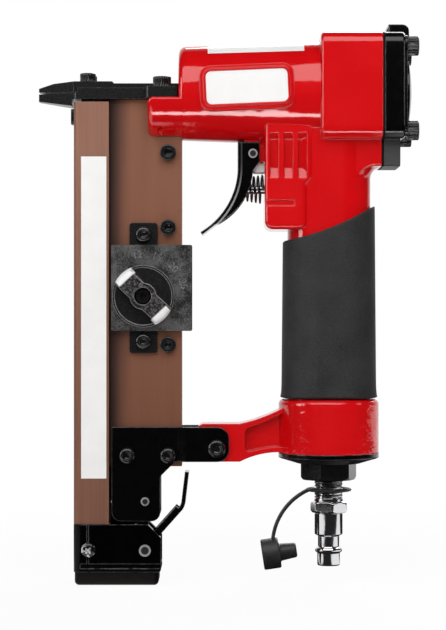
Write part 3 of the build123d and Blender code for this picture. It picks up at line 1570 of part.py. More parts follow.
with BuildPart() as selector_crank:
    extrude(discs_y(-crank_outer, [(dial_x, dial_z)], crank_shaft_r), amount=knob_back - crank_outer)
    extrude(discs_y(-crank_inner, [(dial_x, dial_z)], crank_disc_r), amount=crank_disc_thickness)
    crank_pin_end = rail_thickness / 2
    crank_pin_place = [(crank_pin_x, crank_pin_z)]
    extrude(discs_y(crank_pin_end, crank_pin_place, crank_pin_r), amount=crank_inner + crank_pin_end)
    cut(discs_y(-knob_back, [(dial_x, dial_z)], screw_r + screw_gap), -screw_bite - fit_gap)

rail_top = lug_pin_z - 3 * lug_pin_r
with BuildPart() as length_rail:
    with BuildSketch(near()):
        with Locations((rail_front, core_bottom + rail_foot)):
            rail_height = rail_top - core_bottom - rail_foot
            Rectangle(rail_back - rail_front, rail_height, align=(Align.MIN, Align.MIN))
        with Locations((crank_pin_x, (crank_pin_z + dial_z + crank_throw) / 2)):
            slot_height = dial_z + crank_throw - crank_pin_z + 2 * crank_pin_r + 2 * crank_play
            Rectangle(2 * crank_pin_r + 2 * crank_play, slot_height, mode=Mode.SUBTRACT)
    extrude(amount=rail_thickness / 2, both=True)

# Pusher, its rod and spring
pusher_top = seat_z - pusher_clear
pusher_bottom = pusher_top - pusher_height
rod_top = pusher_bottom - pusher_travel + rod_overlap
with BuildPart() as pusher:
    with BuildSketch(Plane.XY.offset(pusher_bottom)):
        with Locations((rod_x, 0)):
            Rectangle(groove_width - 2 * fit_gap, pin_slot + 2 * groove_depth - 2 * fit_gap)
    extrude(amount=pusher_height)
    with BuildSketch(Plane.XY.offset(pusher_top - pusher_height / 2)):
        with Locations((core_front + seat_gap, 0)):
            Rectangle(rail_front - core_front - fit_gap, rail_thickness, align=(Align.MIN, Align.CENTER))
    extrude(amount=pusher_height / 2)
    with BuildSketch(Plane.XY.offset(pusher_bottom)):
        with Locations((rod_x, 0)):
            Circle(rod_r + screw_gap)
    extrude(amount=pusher_hole_depth, mode=Mode.SUBTRACT)

with BuildPart() as pusher_rod:
    with BuildSketch(Plane.XY.offset(rod_bottom)):
        with Locations((rod_x, 0)):
            Circle(rod_r)
    extrude(amount=rod_top - rod_bottom)

pusher_spring_start = tongue_top + pusher_spring_wire + seat_gap
pusher_spring_end = pusher_bottom - pusher_spring_wire - seat_gap
pusher_spring = coil(
    Vector(rod_x, 0, pusher_spring_start),
    Vector(0, 0, 1),
    pusher_spring_end - pusher_spring_start,
    pusher_spring_turns,
    pusher_spring_r,
    pusher_spring_r,
    pusher_spring_wire,
)

# Trigger: a curved channel on a pin, with its valve behind it
trigger_front = block_front - trigger_front_reach
trigger_top = drive_z - barrel_front_r - barrel_draft * (trigger_front - barrel_front) - fit_gap
trigger_half = trigger_width / 2
bend_z = trigger_top - trigger_straight
tip_x = block_front - trigger_tip_reach
tip_z = drive_z - trigger_tip_drop
tip_run = trigger_front - tip_x
bend_r = (tip_run**2 + (bend_z - tip_z) ** 2) / (2 * tip_run)
bend_x = trigger_front - bend_r
tip_aim = Vector(tip_x - bend_x, tip_z - bend_z).normalized()


def trigger_inner_x(z):
    """X of the inner face of the trigger's front wall at a height below the bend."""
    return bend_x + math.sqrt((bend_r + trigger_wall) ** 2 - (bend_z - z) ** 2)


with BuildPart() as trigger:
    with BuildSketch(near()):
        with BuildLine():
            front = Line((trigger_front, trigger_top), (trigger_front, bend_z))
            sweep_down = TangentArc(front @ 1, (tip_x, tip_z), tangent=(0, -1))
            tip_back = Vector(tip_x, tip_z) + tip_aim * trigger_tip_thickness
            end = Line(sweep_down @ 1, tip_back)
            web = Line(end @ 1, (block_front - trigger_foot_reach, drive_z - trigger_foot_drop))
            back = ThreePointArc(
                web @ 1,
                (block_front - trigger_waist_reach, drive_z - trigger_waist_drop),
                (block_front - trigger_hub_reach, drive_z - trigger_hub_drop),
            )
            Polyline(
                back @ 1,
                (block_front - trigger_back_gap, pivot_z - pivot_lug_r),
                (block_front - trigger_back_gap, trigger_top),
                front @ 0,
            )
        make_face()
    extrude(amount=trigger_half, both=True)
    with BuildSketch(near()):
        with BuildLine():
            inner_x = trigger_front + trigger_wall
            inner = Line((inner_x, trigger_top + trigger_wall), (inner_x, bend_z))
            inner_end = Vector(bend_x, bend_z) + tip_aim * (bend_r + trigger_wall)
            inner_bend = TangentArc(inner @ 1, inner_end, tangent=(0, -1))
            Polyline(
                inner_bend @ 1,
                (block_front, tip_z - trigger_width),
                (block_front, trigger_top + trigger_wall),
                inner @ 0,
            )
        make_face()
    extrude(amount=trigger_half - trigger_wall, both=True, mode=Mode.SUBTRACT)
    cut(discs_y(0, [(pivot_x, pivot_z)], trigger_pin_r + shaft_gap), trigger_half, both=True)

with BuildPart() as trigger_pin:
    pivot = [(pivot_x, pivot_z)]
    extrude(discs_y(0, pivot, trigger_pin_r), amount=trigger_half + trigger_pin_head, both=True)
    extrude(discs_y(-trigger_half - seat_gap, pivot, trigger_pin_head_r), amount=trigger_pin_head)
    extrude(discs_y(trigger_half + seat_gap, pivot, trigger_pin_head_r), amount=-trigger_pin_head)

with BuildPart() as trigger_valve:
    extrude(disc_x(block_front, valve_body_r, valve_z), amount=valve_body_length - seat_gap)
    cut(disc_x(block_front, stem_r + shaft_gap, valve_z), valve_body_length)

stem_tip = trigger_inner_x(valve_z + stem_r) + fit_gap
with BuildPart() as valve_stem:
    extrude(disc_x(stem_tip, stem_r, valve_z), amount=block_front + stem_inside - stem_tip)
    chamfer(valve_stem.edges(), stem_r / 4)

spring_reach = trigger_spring_small_r + trigger_spring_wire
trigger_spring_start = trigger_inner_x(valve_z + spring_reach) + trigger_spring_wire + fit_gap
trigger_spring_end = block_front - trigger_spring_wire - seat_gap
trigger_spring = coil(
    Vector(trigger_spring_start, 0, valve_z),
    Vector(1, 0, 0),
    trigger_spring_end - trigger_spring_start,
    trigger_spring_turns,
    trigger_spring_small_r,
    trigger_spring_large_r,
    trigger_spring_wire,
)

# Written pieces
pieces = {
    "main_housing": main_housing.part,
    "badge_plate": badge_plate.part,
    "grip_sleeve": grip_sleeve.part,
    "handle_end_cap": handle_end_cap.part,
    "end_cap_seal": end_cap_seal.part,
    "inlet_bush": inlet_bush.part,
    "air_plug": air_plug.part,
    "dust_cap": dust_cap.part,
    "cylinder_sleeve": cylinder_sleeve.part,
    "bumper": bumper.part,
    "piston": piston.part,
    "piston_ring": piston_ring.part,
    "driver_blade": driver_blade.part,
    "head_valve": head_valve.part,
    "head_valve_spring": head_valve_spring,
    "head_gasket": head_gasket.part,
    "cylinder_cap": cylinder_cap.part,
    "exhaust_cover": exhaust_cover.part,
    "cap_bolts": cap_bolts.part,
    "nose_base": nose_base.part,
    "nose_cover": nose_cover.part,
    "nose_screws": nose_screws.part,
    "flange_screws": flange_screws.part,
    "near_plate": near_plate.part,
    "far_plate": far_plate.part,
    "plate_screws": plate_screws.part,
    "lug_pin": lug_pin.part,
    "magazine_cover": magazine_cover.part,
    "cover_tab": cover_tab.part,
    "end_block": end_block.part,
    "foot_pad": foot_pad.part,
    "latch_pin": latch_pin.part,
    "latch_lever": latch_lever.part,
    "latch_spring": latch_spring,
    "near_bracket": near_bracket,
    "far_bracket": far_bracket,
    "catch_pin": catch_pin.part,
    "bracket_screws": bracket_screws.part,
    "arm_bolt": arm_bolt.part,
    "arm_nut": arm_nut.part,
    "selector_strip": selector_strip.part,
    "strip_screws": strip_screws.part,
    "dial_plate": dial_plate.part,
    "length_knob": length_knob.part,
    "knob_screw": knob_screw.part,
    "selector_crank": selector_crank.part,
    "length_rail": length_rail.part,
    "pusher": pusher.part,
    "pusher_rod": pusher_rod.part,
    "pusher_spring": pusher_spring,
    "trigger": trigger.part,
    "trigger_pin": trigger_pin.part,
    "trigger_valve": trigger_valve.part,
    "valve_stem": valve_stem.part,
    "trigger_spring": trigger_spring,
}
os.makedirs("parts", exist_ok=True)
for name, piece in pieces.items():
    piece.label = name
    export_step(piece, f"parts/{name}.step")
print(f"drive axis at {drive_z:.2f} mm, stroke {stroke:.2f} mm, crank throw {crank_throw:.3f} mm")
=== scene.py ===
"""Pneumatic pin nailer: finishes, labels, moulded, turned and coiled pieces, and the studio.

Metres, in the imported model's own frame: X from the nose to the rear cap, Y away from the viewer, Z up
the handle.
"""

import json
import math

import bmesh
import bpy
import numpy as np
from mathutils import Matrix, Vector


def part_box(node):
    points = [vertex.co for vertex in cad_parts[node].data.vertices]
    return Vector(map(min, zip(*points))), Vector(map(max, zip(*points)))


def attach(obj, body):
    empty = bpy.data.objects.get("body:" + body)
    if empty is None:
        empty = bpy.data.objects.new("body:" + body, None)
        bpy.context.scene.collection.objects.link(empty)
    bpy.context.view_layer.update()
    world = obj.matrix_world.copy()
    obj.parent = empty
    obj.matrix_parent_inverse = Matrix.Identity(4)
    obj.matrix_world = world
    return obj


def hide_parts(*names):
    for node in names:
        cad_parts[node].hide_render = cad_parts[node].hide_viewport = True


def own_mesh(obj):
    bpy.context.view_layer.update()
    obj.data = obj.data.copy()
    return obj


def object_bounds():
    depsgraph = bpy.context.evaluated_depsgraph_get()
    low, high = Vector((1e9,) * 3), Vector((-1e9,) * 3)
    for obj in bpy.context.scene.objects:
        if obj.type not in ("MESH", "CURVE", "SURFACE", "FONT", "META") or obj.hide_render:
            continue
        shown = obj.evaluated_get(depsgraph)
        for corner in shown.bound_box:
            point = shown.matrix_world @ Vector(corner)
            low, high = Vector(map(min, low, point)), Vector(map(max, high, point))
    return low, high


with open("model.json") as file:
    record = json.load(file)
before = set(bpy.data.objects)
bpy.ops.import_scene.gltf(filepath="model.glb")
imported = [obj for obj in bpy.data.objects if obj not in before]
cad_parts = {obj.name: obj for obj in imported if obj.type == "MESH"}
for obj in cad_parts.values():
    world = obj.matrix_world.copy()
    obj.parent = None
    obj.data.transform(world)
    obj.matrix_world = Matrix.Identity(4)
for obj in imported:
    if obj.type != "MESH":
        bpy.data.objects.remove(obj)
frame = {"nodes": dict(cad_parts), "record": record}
cad_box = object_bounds()
nodes = frame["nodes"]
mm = 0.001


def middle(node):
    """Centre of a node's box, as an array."""
    low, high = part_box(node)
    return (np.array(low) + np.array(high)) / 2


def low_corner(node):
    """Lowest corner of a node's box, as an array."""
    return np.array(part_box(node)[0])


def high_corner(node):
    """Highest corner of a node's box, as an array."""
    return np.array(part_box(node)[1])


# Shader arithmetic


class Value:
    """A socket in an expression: arithmetic on it adds Math nodes to its material."""

    def __init__(self, paint, socket):
        self.paint = paint
        self.socket = socket

    def math(self, operation, *others):
        """A Math node on this value and others."""
        inputs = dict(enumerate((self,) + others))
        return self.paint.node("Math", {"operation": operation}, inputs)

    def __add__(self, other):
        return self.math("ADD", other)

    def __mul__(self, other):
        return self.math("MULTIPLY", other)

    def __sub__(self, other):
        return self.math("SUBTRACT", other)

    def __rsub__(self, other):
        return self * -1.0 + other

    def __truediv__(self, other):
        return self.math("DIVIDE", other)

    def __pow__(self, other):
        return self.math("POWER", other)

    __radd__ = __add__
    __rmul__ = __mul__

    def between(self, low, high):
        """0 below low and 1 above high, easing between them; low may be the larger."""
        if low > high:
            return 1.0 - self.between(high, low)
        sockets = {"Value": self, "From Min": low, "From Max": high}
        return self.paint.node("MapRange", {"interpolation_type": "SMOOTHSTEP"}, sockets)


class Paint:
    """One material or world: node() adds a node, sets its settings and then fills its sockets."""

    def __init__(self, name, owner=None):
        self.owner = owner or bpy.data.materials.new(name)
        self.owner.use_nodes = True
        self.tree = self.owner.node_tree
        self.nodes = self.tree.nodes

    def fill(self, socket, value):
        """Link a value to a socket, or set a constant on it; a colour gets its alpha."""
        if isinstance(value, Value):
            self.tree.links.new(value.socket, socket)
        elif isinstance(value, tuple) and len(value) == 3 and socket.type == "RGBA":
            socket.default_value = (*value, 1.0)
        else:
            socket.default_value = value

    def node(self, kind, settings, sockets, output=0):
        """One output of a new node of a kind, with its settings made first and its sockets filled."""
        made = self.nodes.new("ShaderNode" + kind)
        for name, value in settings.items():
            setattr(made, name, value)
        for name, value in sockets.items():
            self.fill(made.inputs[name], value)
        return Value(self, made.outputs[output])

    def coordinates(self):
        """Object coordinates, in metres."""
        return self.node("TexCoord", {}, {}, "Object")

    def moved(self, place=(0, 0, 0), turn=(0, 0, 0), stretch=(1, 1, 1)):
        """Object coordinates measured from a place, turned and stretched."""
        both = {0: self.coordinates(), 1: tuple(place)}
        shifted = self.node("VectorMath", {"operation": "SUBTRACT"}, both)
        return self.node("Mapping", {}, {"Vector": shifted, "Rotation": turn, "Scale": stretch})

    def parts_of(self, vector):
        """The three coordinates of a vector."""
        split = self.node("SeparateXYZ", {}, {"Vector": vector})
        return [Value(self, out) for out in split.socket.node.outputs]

    def noise(self, size, detail=3.0, vector=None, rough=0.5):
        """Noise whose lumps are about size across, in metres."""
        sockets = {
            "Vector": vector or self.coordinates(),
            "Scale": 1 / size,
            "Detail": detail,
            "Roughness": rough,
        }
        return self.node("TexNoise", {}, sockets)

    def mix(self, factor, first, second):
        """From the first colour at 0 to the second at 1."""
        colour_a, colour_b, mixed = 6, 7, 2  # places of a Mix node's colour sockets
        sockets = {"Factor": factor, colour_a: first, colour_b: second}
        return self.node("Mix", {"data_type": "RGBA"}, sockets, mixed)

    def bump(self, height, strength, depth, under=None):
        """Normals from a height in metres at full scale."""
        sockets = {"Height": height, "Strength": strength, "Distance": depth}
        if under is not None:
            sockets["Normal"] = under
        return self.node("Bump", {}, sockets)

    def surface(self, **sockets):
        """Fill the surface shader's sockets, whose names have _ for each space."""
        shader = self.nodes["Principled BSDF"]
        for name, value in sockets.items():
            self.fill(shader.inputs[name.replace("_", " ")], value)
        return self.owner

    def rays(self):
        """1 for the camera's rays, and 1 for those of reflections and of clear surfaces."""
        seen, glossy, clear = (
            self.node("LightPath", {}, {}, "Is " + kind + " Ray")
            for kind in ("Camera", "Glossy", "Transmission")
        )
        return seen, glossy + clear

    def split(self, share, first, second, output):
        """Put two shaders into an output: the first at a share of 0, the second from 1 on."""
        both = self.node("MixShader", {}, {0: share.math("MINIMUM", 1.0), 1: first, 2: second})
        self.fill(self.nodes[output].inputs["Surface"], both)


# Finishes


def grey(level):
    """A neutral colour."""
    return level, level, level


def soft_edges(p, radius):
    """Normals rounded over every sharp edge, so that edges catch the light."""
    return p.node("Bevel", {"samples": 6}, {"Radius": radius})


def edge_wear(p, radius):
    """1 on edges: where normals rounded over a radius turn away from the plain ones."""
    plain = p.node("NewGeometry", {}, {}, "Normal")
    both = {0: soft_edges(p, radius), 1: plain}
    same = p.node("VectorMath", {"operation": "DOT_PRODUCT"}, both, "Value")
    return (1.0 - same).between(0.02, 0.16)


def red_enamel():
    """Gloss enamel over a cast surface: faint flow in the colour, slow waves and orange peel in the
    gloss, and a coarser cast grain on the handle's foot and arm."""
    p = Paint("red_enamel")
    _, _, up = p.parts_of(p.coordinates())
    foot = up.between(80 * mm, 68 * mm)
    flow = p.noise(14 * mm, 2)
    waves = p.noise(4.5 * mm, 2)
    peel = p.noise(1.5 * mm, 2)
    lumps = p.noise(4.5 * mm, 2)
    slow = p.bump(waves, 0.10, 0.5 * mm, soft_edges(p, 0.8 * mm))
    cast = p.bump(lumps * foot, 0.5, 0.5 * mm, slow)
    return p.surface(
        Base_Color=p.mix(flow, (0.58, 0.0020, 0.0040), (0.66, 0.0032, 0.0056)),
        Roughness=0.05 + 0.04 * flow + 0.04 * foot,
        Normal=p.bump(peel, 0.16, 0.06 * mm, cast),
        IOR=1.75,
    )


def trigger_highlight(p):
    """Up to 1 on a painted highlight line along the trigger's sides, just inside its front edge,
    standing for the light that a ridge there catches;
    the edge is straight above a bend and an arc below it, and the depth behind that edge is the
    distance from the arc's centre less its radius."""
    front, bend_z, bend_r = -40.4 * mm, 176.3 * mm, 33.3 * mm
    across, _, up = p.parts_of(p.coordinates())
    ahead = across - (front - bend_r)
    below = (up - bend_z).math("MINIMUM", 0.0)
    depth = (ahead * ahead + below * below) ** 0.5 - bend_r
    # the painted highlight: a narrow band at a set depth behind the front edge
    line = depth.between(1.1 * mm, 1.5 * mm) * depth.between(2.2 * mm, 1.8 * mm)
    return line * (0.12 + 0.75 * up.between(180 * mm, 158 * mm))


def black_enamel(name, edge=0.7, dull_below=None, gloss=0.5, highlight_line=None):
    """Gloss black enamel with orange peel, a faint unevenness of gloss and edges rounded over a radius
    in mm, whose colour is lightened partly as rubbed wear and partly as a painted edge highlight; below
    a height, if one is given, the casting is bare and dull.
    Gloss is the share of reflection, and a highlight line is a function that gives where a painted
    highlight line goes."""
    p = Paint(name)
    peel = p.noise(1.2 * mm, 2)
    cloud = p.noise(4 * mm, 4, rough=0.6)
    rubbed = edge_wear(p, 0.8 * edge * mm) * p.noise(3 * mm, 4, rough=0.7).between(0.36, 0.62)
    colour = p.mix(cloud, grey(0.0003), (0.0012, 0.0012, 0.0013))
    # rubbed edges lightened: partly wear, partly a painted edge highlight
    colour = p.mix(rubbed, colour, grey(0.13))
    # a painted highlight line, if one is given
    if highlight_line:
        colour = p.mix(highlight_line(p), colour, grey(0.34))
    rough = 0.08 + 0.12 * cloud
    if dull_below is not None:
        _, _, up = p.parts_of(p.coordinates())
        dull = up.between(dull_below + 0.4 * mm, dull_below - 0.4 * mm)
        colour = p.mix(dull, colour, (0.034, 0.032, 0.032))
        rough = rough + 0.35 * dull
    return p.surface(
        Base_Color=colour,
        Roughness=rough,
        Normal=p.bump(peel, 0.07, 0.06 * mm, soft_edges(p, edge * mm)),
        Specular_IOR_Level=gloss,
        IOR=1.6,
    )


def chipped_black():
    """Black paint on a rivet, chipped to bright metal in patches."""
    p = Paint("chipped_black")
    chips = p.noise(2.6 * mm, 5, rough=0.6).between(0.50, 0.54)
    grain = p.noise(0.5 * mm, 3)
    return p.surface(
        Base_Color=p.mix(chips, (0.0012, 0.0012, 0.0013), (0.62, 0.60, 0.60)),
        Roughness=0.14 + 0.14 * grain,
        Metallic=0.4 * chips,
        Normal=p.bump(grain, 0.1, 0.04 * mm),
        IOR=1.6,
    )


def bolt_black():
    """Oiled black steel: glossy, with a faint turned unevenness."""
    p = Paint("bolt_black")
    cloud = p.noise(1.5 * mm, 3)
    return p.surface(
        Base_Color=p.mix(cloud, (0.0012, 0.0012, 0.0013), (0.0075, 0.0075, 0.0078)),
        Roughness=0.13 + 0.14 * cloud,
        Normal=p.bump(cloud, 0.06, 0.05 * mm),
        IOR=1.8,
    )


def black_steel():
    """Black oxide on steel: a fine pressed grain that glints, and bare grey on worn edges."""
    p = Paint("black_steel")
    grain = p.noise(0.6 * mm, 4, rough=0.65)
    cloud = p.noise(6 * mm, 3)
    worn = edge_wear(p, 0.30 * mm) * p.noise(2.2 * mm, 4, rough=0.7).between(0.46, 0.68)
    dark = p.mix(cloud, (0.0016, 0.0016, 0.0018), (0.0062, 0.0062, 0.0066))
    return p.surface(
        Base_Color=p.mix(worn, dark, (0.10, 0.10, 0.102)),
        Roughness=0.20 + 0.16 * grain,
        Normal=p.bump(grain, 0.34, 0.10 * mm, soft_edges(p, 0.35 * mm)),
        IOR=1.6,
    )


def pin_end(name, centre, radius):
    """Steel pin with a riveted end: a dull middle and a bright ring, by distance from its axis."""
    p = Paint(name)
    across, _, up = p.parts_of(p.moved(centre))
    reach = (across * across + up * up) ** 0.5 / radius
    ring = reach.between(0.58, 0.70) * reach.between(1.0, 0.92)
    ground = p.noise(0.5 * mm, 4, rough=0.7)
    return p.surface(
        Base_Color=p.mix(ring * ground.between(0.25, 0.5), (0.03, 0.03, 0.031), (0.46, 0.45, 0.44)),
        Roughness=0.28 + 0.2 * ground,
        Metallic=0.6,
        Normal=p.bump(ground, 0.12, 0.04 * mm, soft_edges(p, 0.4 * mm)),
    )


def brown_anodised(name, dark, light, shade_edge_x=None):
    """Satin brown anodising on an extrusion: fine lines along Z, broad soft bands and a few specks,
    darker towards the foot as a painted shade of light from above, and with a painted shadow beside a
    line of constant X, if one is given."""
    p = Paint(name)
    lines = p.noise(0.22 * mm, 3, p.moved(stretch=(1, 1, 0.004)))
    bands = p.noise(9 * mm, 2, p.moved(stretch=(1, 1, 0.12)))
    specks = p.noise(0.5 * mm, 2)
    across, _, up = p.parts_of(p.coordinates())
    # the height term paints shade: lighter high up and darker towards the foot, as light from above
    # falls
    tone = 0.5 * bands + 0.5 * lines + 0.35 * up.between(20 * mm, 190 * mm) - 0.2
    colour = p.mix(tone.between(0.0, 1.0), dark, light)
    if shade_edge_x is not None:
        # painted shadow of the cover on the plates: dark at the line, fading over about 10 mm away from
        # it
        reach = across + (4 * mm) * (bands - 0.5)
        painted_shadow = reach.between(shade_edge_x + 11.0 * mm, shade_edge_x + 1.0 * mm) * 0.97
        colour = p.mix(painted_shadow, colour, (0.018, 0.0040, 0.0020))
    return p.surface(
        Base_Color=colour,
        Roughness=0.36 + 0.14 * lines + 0.08 * specks,
        Metallic=0.25,
        Normal=p.bump(lines, 0.10, 0.05 * mm, soft_edges(p, 0.3 * mm)),
    )


def grip_rubber():
    """Matte moulded rubber: a dense fine pebble grain, with dust and wiped patches in its tone."""
    p = Paint("grip_rubber")
    pebbles = {"Vector": p.coordinates(), "Scale": 1 / (0.75 * mm)}
    pebble = p.node("TexVoronoi", {"feature": "F1"}, pebbles)
    dust = p.noise(0.55 * mm, 4, rough=0.7)
    wipe = p.noise(16 * mm, 3)
    tone = (0.35 * wipe + 0.65 * dust).between(0.25, 0.75)
    return p.surface(
        Base_Color=p.mix(tone, (0.0025, 0.0024, 0.0025), (0.030, 0.0292, 0.0295)),
        Roughness=0.56 + 0.22 * dust,
        Normal=p.bump(1.0 - pebble, 0.7, 0.16 * mm),
        Specular_IOR_Level=0.35,
    )


def black_rubber():
    """Satin moulded rubber with faint flow marks."""
    p = Paint("black_rubber")
    flow = p.noise(3.5 * mm, 3)
    grain = p.noise(0.4 * mm, 2)
    return p.surface(
        Base_Color=p.mix(flow, (0.008, 0.0078, 0.008), (0.022, 0.0215, 0.022)),
        Roughness=0.34 + 0.2 * flow,
        Normal=p.bump(grain, 0.18, 0.06 * mm),
    )


def dial_coating():
    """Dark grey coating: cloudy paler patches, fine speckle and pits."""
    p = Paint("dial_coating")
    cloud = p.noise(8 * mm, 6, rough=0.6)
    pits = p.noise(0.8 * mm, 4, rough=0.7)
    patch = (0.5 * cloud + 0.5 * pits).between(0.42, 0.59)
    return p.surface(
        Base_Color=p.mix(patch, (0.0018, 0.0018, 0.0019), (0.080, 0.077, 0.076)),
        Roughness=0.32 + 0.26 * cloud,
        Normal=p.bump(pits, 0.30, 0.08 * mm, soft_edges(p, 0.35 * mm)),
    )


def dial_mark():
    """Raised figures with the coating rubbed thin."""
    p = Paint("dial_mark")
    rub = p.noise(0.8 * mm, 4, rough=0.7).between(0.30, 0.62)
    return p.surface(
        Base_Color=p.mix(rub, grey(0.012), (0.17, 0.168, 0.166)),
        Roughness=0.34 + 0.2 * rub,
        Normal=p.bump(rub, 0.15, 0.04 * mm),
    )


def knob_plastic():
    """Black speckled plastic; the ends of the knob's bar, along its own line, carry a painted highlight
    for their sloped ends.
    """
    p = Paint("knob_plastic")
    bar_turn = math.radians(47)  # the bar falls towards the handle
    centre = middle("length_knob")
    rim = high_corner("length_knob")[0] - centre[0]
    along, _, beside = p.parts_of(p.moved(centre, (0, -bar_turn, 0)))
    side = beside.math("ABSOLUTE").between(0.36 * rim, 0.31 * rim)
    speckle = p.noise(0.9 * mm, 5, rough=0.75)
    # painted highlight on the bar's ends, for the light their slopes catch
    ends = along.math("ABSOLUTE").between(0.70 * rim, 0.76 * rim) * side
    bright = ends * speckle.between(0.22, 0.42)
    rubbed = edge_wear(p, 0.6 * mm) * speckle.between(0.30, 0.5)
    flecks = speckle.between(0.46, 0.62) * (0.88 * side + 0.12)
    dark = p.mix(flecks, (0.0012, 0.0010, 0.0010), (0.12, 0.112, 0.112))
    worn = p.mix(rubbed * 0.8, dark, (0.46, 0.45, 0.45))
    return p.surface(
        Base_Color=p.mix(bright, worn, grey(0.80)),
        Roughness=0.24 + 0.2 * speckle,
        Normal=p.bump(speckle, 0.25, 0.06 * mm, soft_edges(p, 0.4 * mm)),
    )


def bare_steel(name, dark, light):
    """Bare steel: fine uneven grinding in the tone and the gloss."""
    p = Paint(name)
    ground = p.noise(0.4 * mm, 4, rough=0.7)
    return p.surface(
        Base_Color=p.mix(ground, dark, light),
        Roughness=0.16 + 0.16 * ground,
        Metallic=1.0,
        Normal=p.bump(ground, 0.06, 0.03 * mm, soft_edges(p, 0.2 * mm)),
    )


def chrome_plate():
    """Bright plating with a faint ripple."""
    p = Paint("chrome_plate")
    ripple = p.noise(1.8 * mm, 2)
    return p.surface(
        Base_Color=p.mix(ripple, (0.70, 0.70, 0.72), (0.80, 0.80, 0.81)),
        Roughness=0.05 + 0.06 * ripple,
        Metallic=1.0,
        Normal=p.bump(ripple, 0.06, 0.05 * mm),
    )


def machined_aluminium():
    """Turned aluminium: fine rings across X in colour and gloss."""
    p = Paint("machined_aluminium")
    rings = p.noise(0.3 * mm, 2, p.moved(stretch=(1, 0.02, 0.02)))
    return p.surface(
        Base_Color=p.mix(rings, (0.55, 0.55, 0.57), (0.74, 0.74, 0.76)),
        Roughness=0.25 + 0.15 * rings,
        Metallic=1.0,
        Normal=p.bump(rings, 0.1, 0.04 * mm),
    )


def plain_moulding(name, dark, light, rough, gloss=0.5):
    """An even unpainted material with a soft mottle, and its share of gloss."""
    p = Paint(name)
    mottle = p.noise(2.5 * mm, 4)
    return p.surface(
        Base_Color=p.mix(mottle, dark, light),
        Roughness=rough + 0.15 * mottle,
        Normal=p.bump(mottle, 0.1, 0.05 * mm, soft_edges(p, 0.5 * mm)),
        Specular_IOR_Level=gloss,
    )


def white_plate():
    """Gloss white sheet: barely uneven in tone and gloss."""
    p = Paint("white_plate")
    cloud = p.noise(8 * mm, 3)
    grain = p.noise(0.6 * mm, 2)
    return p.surface(
        Base_Color=p.mix(cloud, (0.80, 0.795, 0.785), (0.88, 0.875, 0.865)),
        Roughness=0.26 + 0.14 * grain,
        Normal=p.bump(grain, 0.05, 0.03 * mm),
        Coat_Weight=0.3,
    )


cap_bare_z = low_corner("cap_bolts")[2] + 0.6 * mm  # the cap is bare below this height
# the cover's edge, beside which the plates get a painted shadow
cover_edge_x = -97.1 * mm
finishes = {
    "red_enamel": red_enamel(),
    "black_enamel": black_enamel("black_enamel"),
    "cap_enamel": black_enamel("cap_enamel", dull_below=cap_bare_z),
    "trigger_enamel": black_enamel("trigger_enamel", edge=1.1, highlight_line=trigger_highlight),
    "end_enamel": black_enamel("end_enamel", gloss=0.1),
    "chipped_black": chipped_black(),
    "bolt_black": bolt_black(),
    "black_steel": black_steel(),
    "brown_anodised": brown_anodised(
        "brown_anodised", (0.154, 0.052, 0.023), (0.242, 0.089, 0.045), shade_edge_x=cover_edge_x
    ),
    "cover_brown": brown_anodised("cover_brown", (0.165, 0.064, 0.036), (0.300, 0.138, 0.087)),
    "grip_rubber": grip_rubber(),
    "black_rubber": black_rubber(),
    "dial_coating": dial_coating(),
    "dial_mark": dial_mark(),
    "knob_plastic": knob_plastic(),
    "bright_steel": bare_steel("bright_steel", (0.46, 0.46, 0.47), (0.66, 0.66, 0.67)),
    "spring_steel": bare_steel("spring_steel", (0.045, 0.045, 0.047), (0.15, 0.15, 0.155)),
    "chrome_plate": chrome_plate(),
    "machined_aluminium": machined_aluminium(),
    "acetal": plain_moulding("acetal", (0.70, 0.70, 0.68), (0.80, 0.80, 0.78), rough=0.35),
    "foot_plastic": plain_moulding(
        "foot_plastic", (0.0016, 0.0011, 0.0011), (0.008, 0.005, 0.005), rough=0.22, gloss=0.12
    ),
    "gasket_fibre": plain_moulding("gasket_fibre", grey(0.002), grey(0.006), rough=0.6, gloss=0.1),
    "white_plate": white_plate(),
}
for part in frame["record"]["subparts"]:
    slots = nodes[part["node"]].data.materials
    slots.clear()
    slots.append(finishes[part["material_slot"]])

# Nodes whose finish isn't that of their slot; a pin's is made for its own axis and radius in mm
pins = {"trigger_pin": 2.1, "latch_pin": 2.7, "catch_pin": 1.9}
finishes.update({pin: pin_end(pin, middle(pin), radius * mm) for pin, radius in pins.items()})
own_finish = {
    "magazine_cover": "cover_brown",
    "cylinder_cap": "cap_enamel",
    "selector_strip": "black_steel",
    "trigger": "trigger_enamel",
    "knob_screw": "bolt_black",
    "lug_pin": "red_enamel",
    "inlet_bush": "bolt_black",
    "foot_pad": "foot_plastic",
    "end_block": "end_enamel",
    **{pin: pin for pin in pins},
}
for node, finish in own_finish.items():
    nodes[node].data.materials[0] = finishes[finish]


# Meshes from arrays of points


def add_piece(name, mesh, finish, body):
    """An object for a mesh, with its finish, body and material slot."""
    mesh.materials.append(finishes[finish])
    piece = bpy.data.objects.new(name, mesh)
    bpy.context.scene.collection.objects.link(piece)
    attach(piece, body)
    return piece


def new_piece(name, points, faces, finish, body):
    """A smooth mesh piece from points and faces; its slot is its finish."""
    mesh = bpy.data.meshes.new(name)
    mesh.from_pydata(points.reshape(-1, 3).tolist(), [], faces.tolist())
    mesh.polygons.foreach_set("use_smooth", np.ones(len(mesh.polygons), bool))
    return add_piece(name, mesh, finish, body)


def grid_faces(rows, columns, wrap_rows=False, wrap_columns=False):
    """Quads between neighbours of a grid of points, counted row by row, closed where it wraps."""
    row = np.arange(rows if wrap_rows else rows - 1)[:, None]
    column = np.arange(columns if wrap_columns else columns - 1)[None, :]
    here, above = row * columns, (row + 1) % rows * columns
    right = (column + 1) % columns
    corners = np.broadcast_arrays(here + column, here + right, above + right, above + column)
    return np.stack(corners, -1).reshape(-1, 4)


def unit(vectors):
    """Vectors divided by their lengths."""
    vectors = np.asarray(vectors, float)
    return vectors / np.linalg.norm(vectors, axis=-1, keepdims=True)


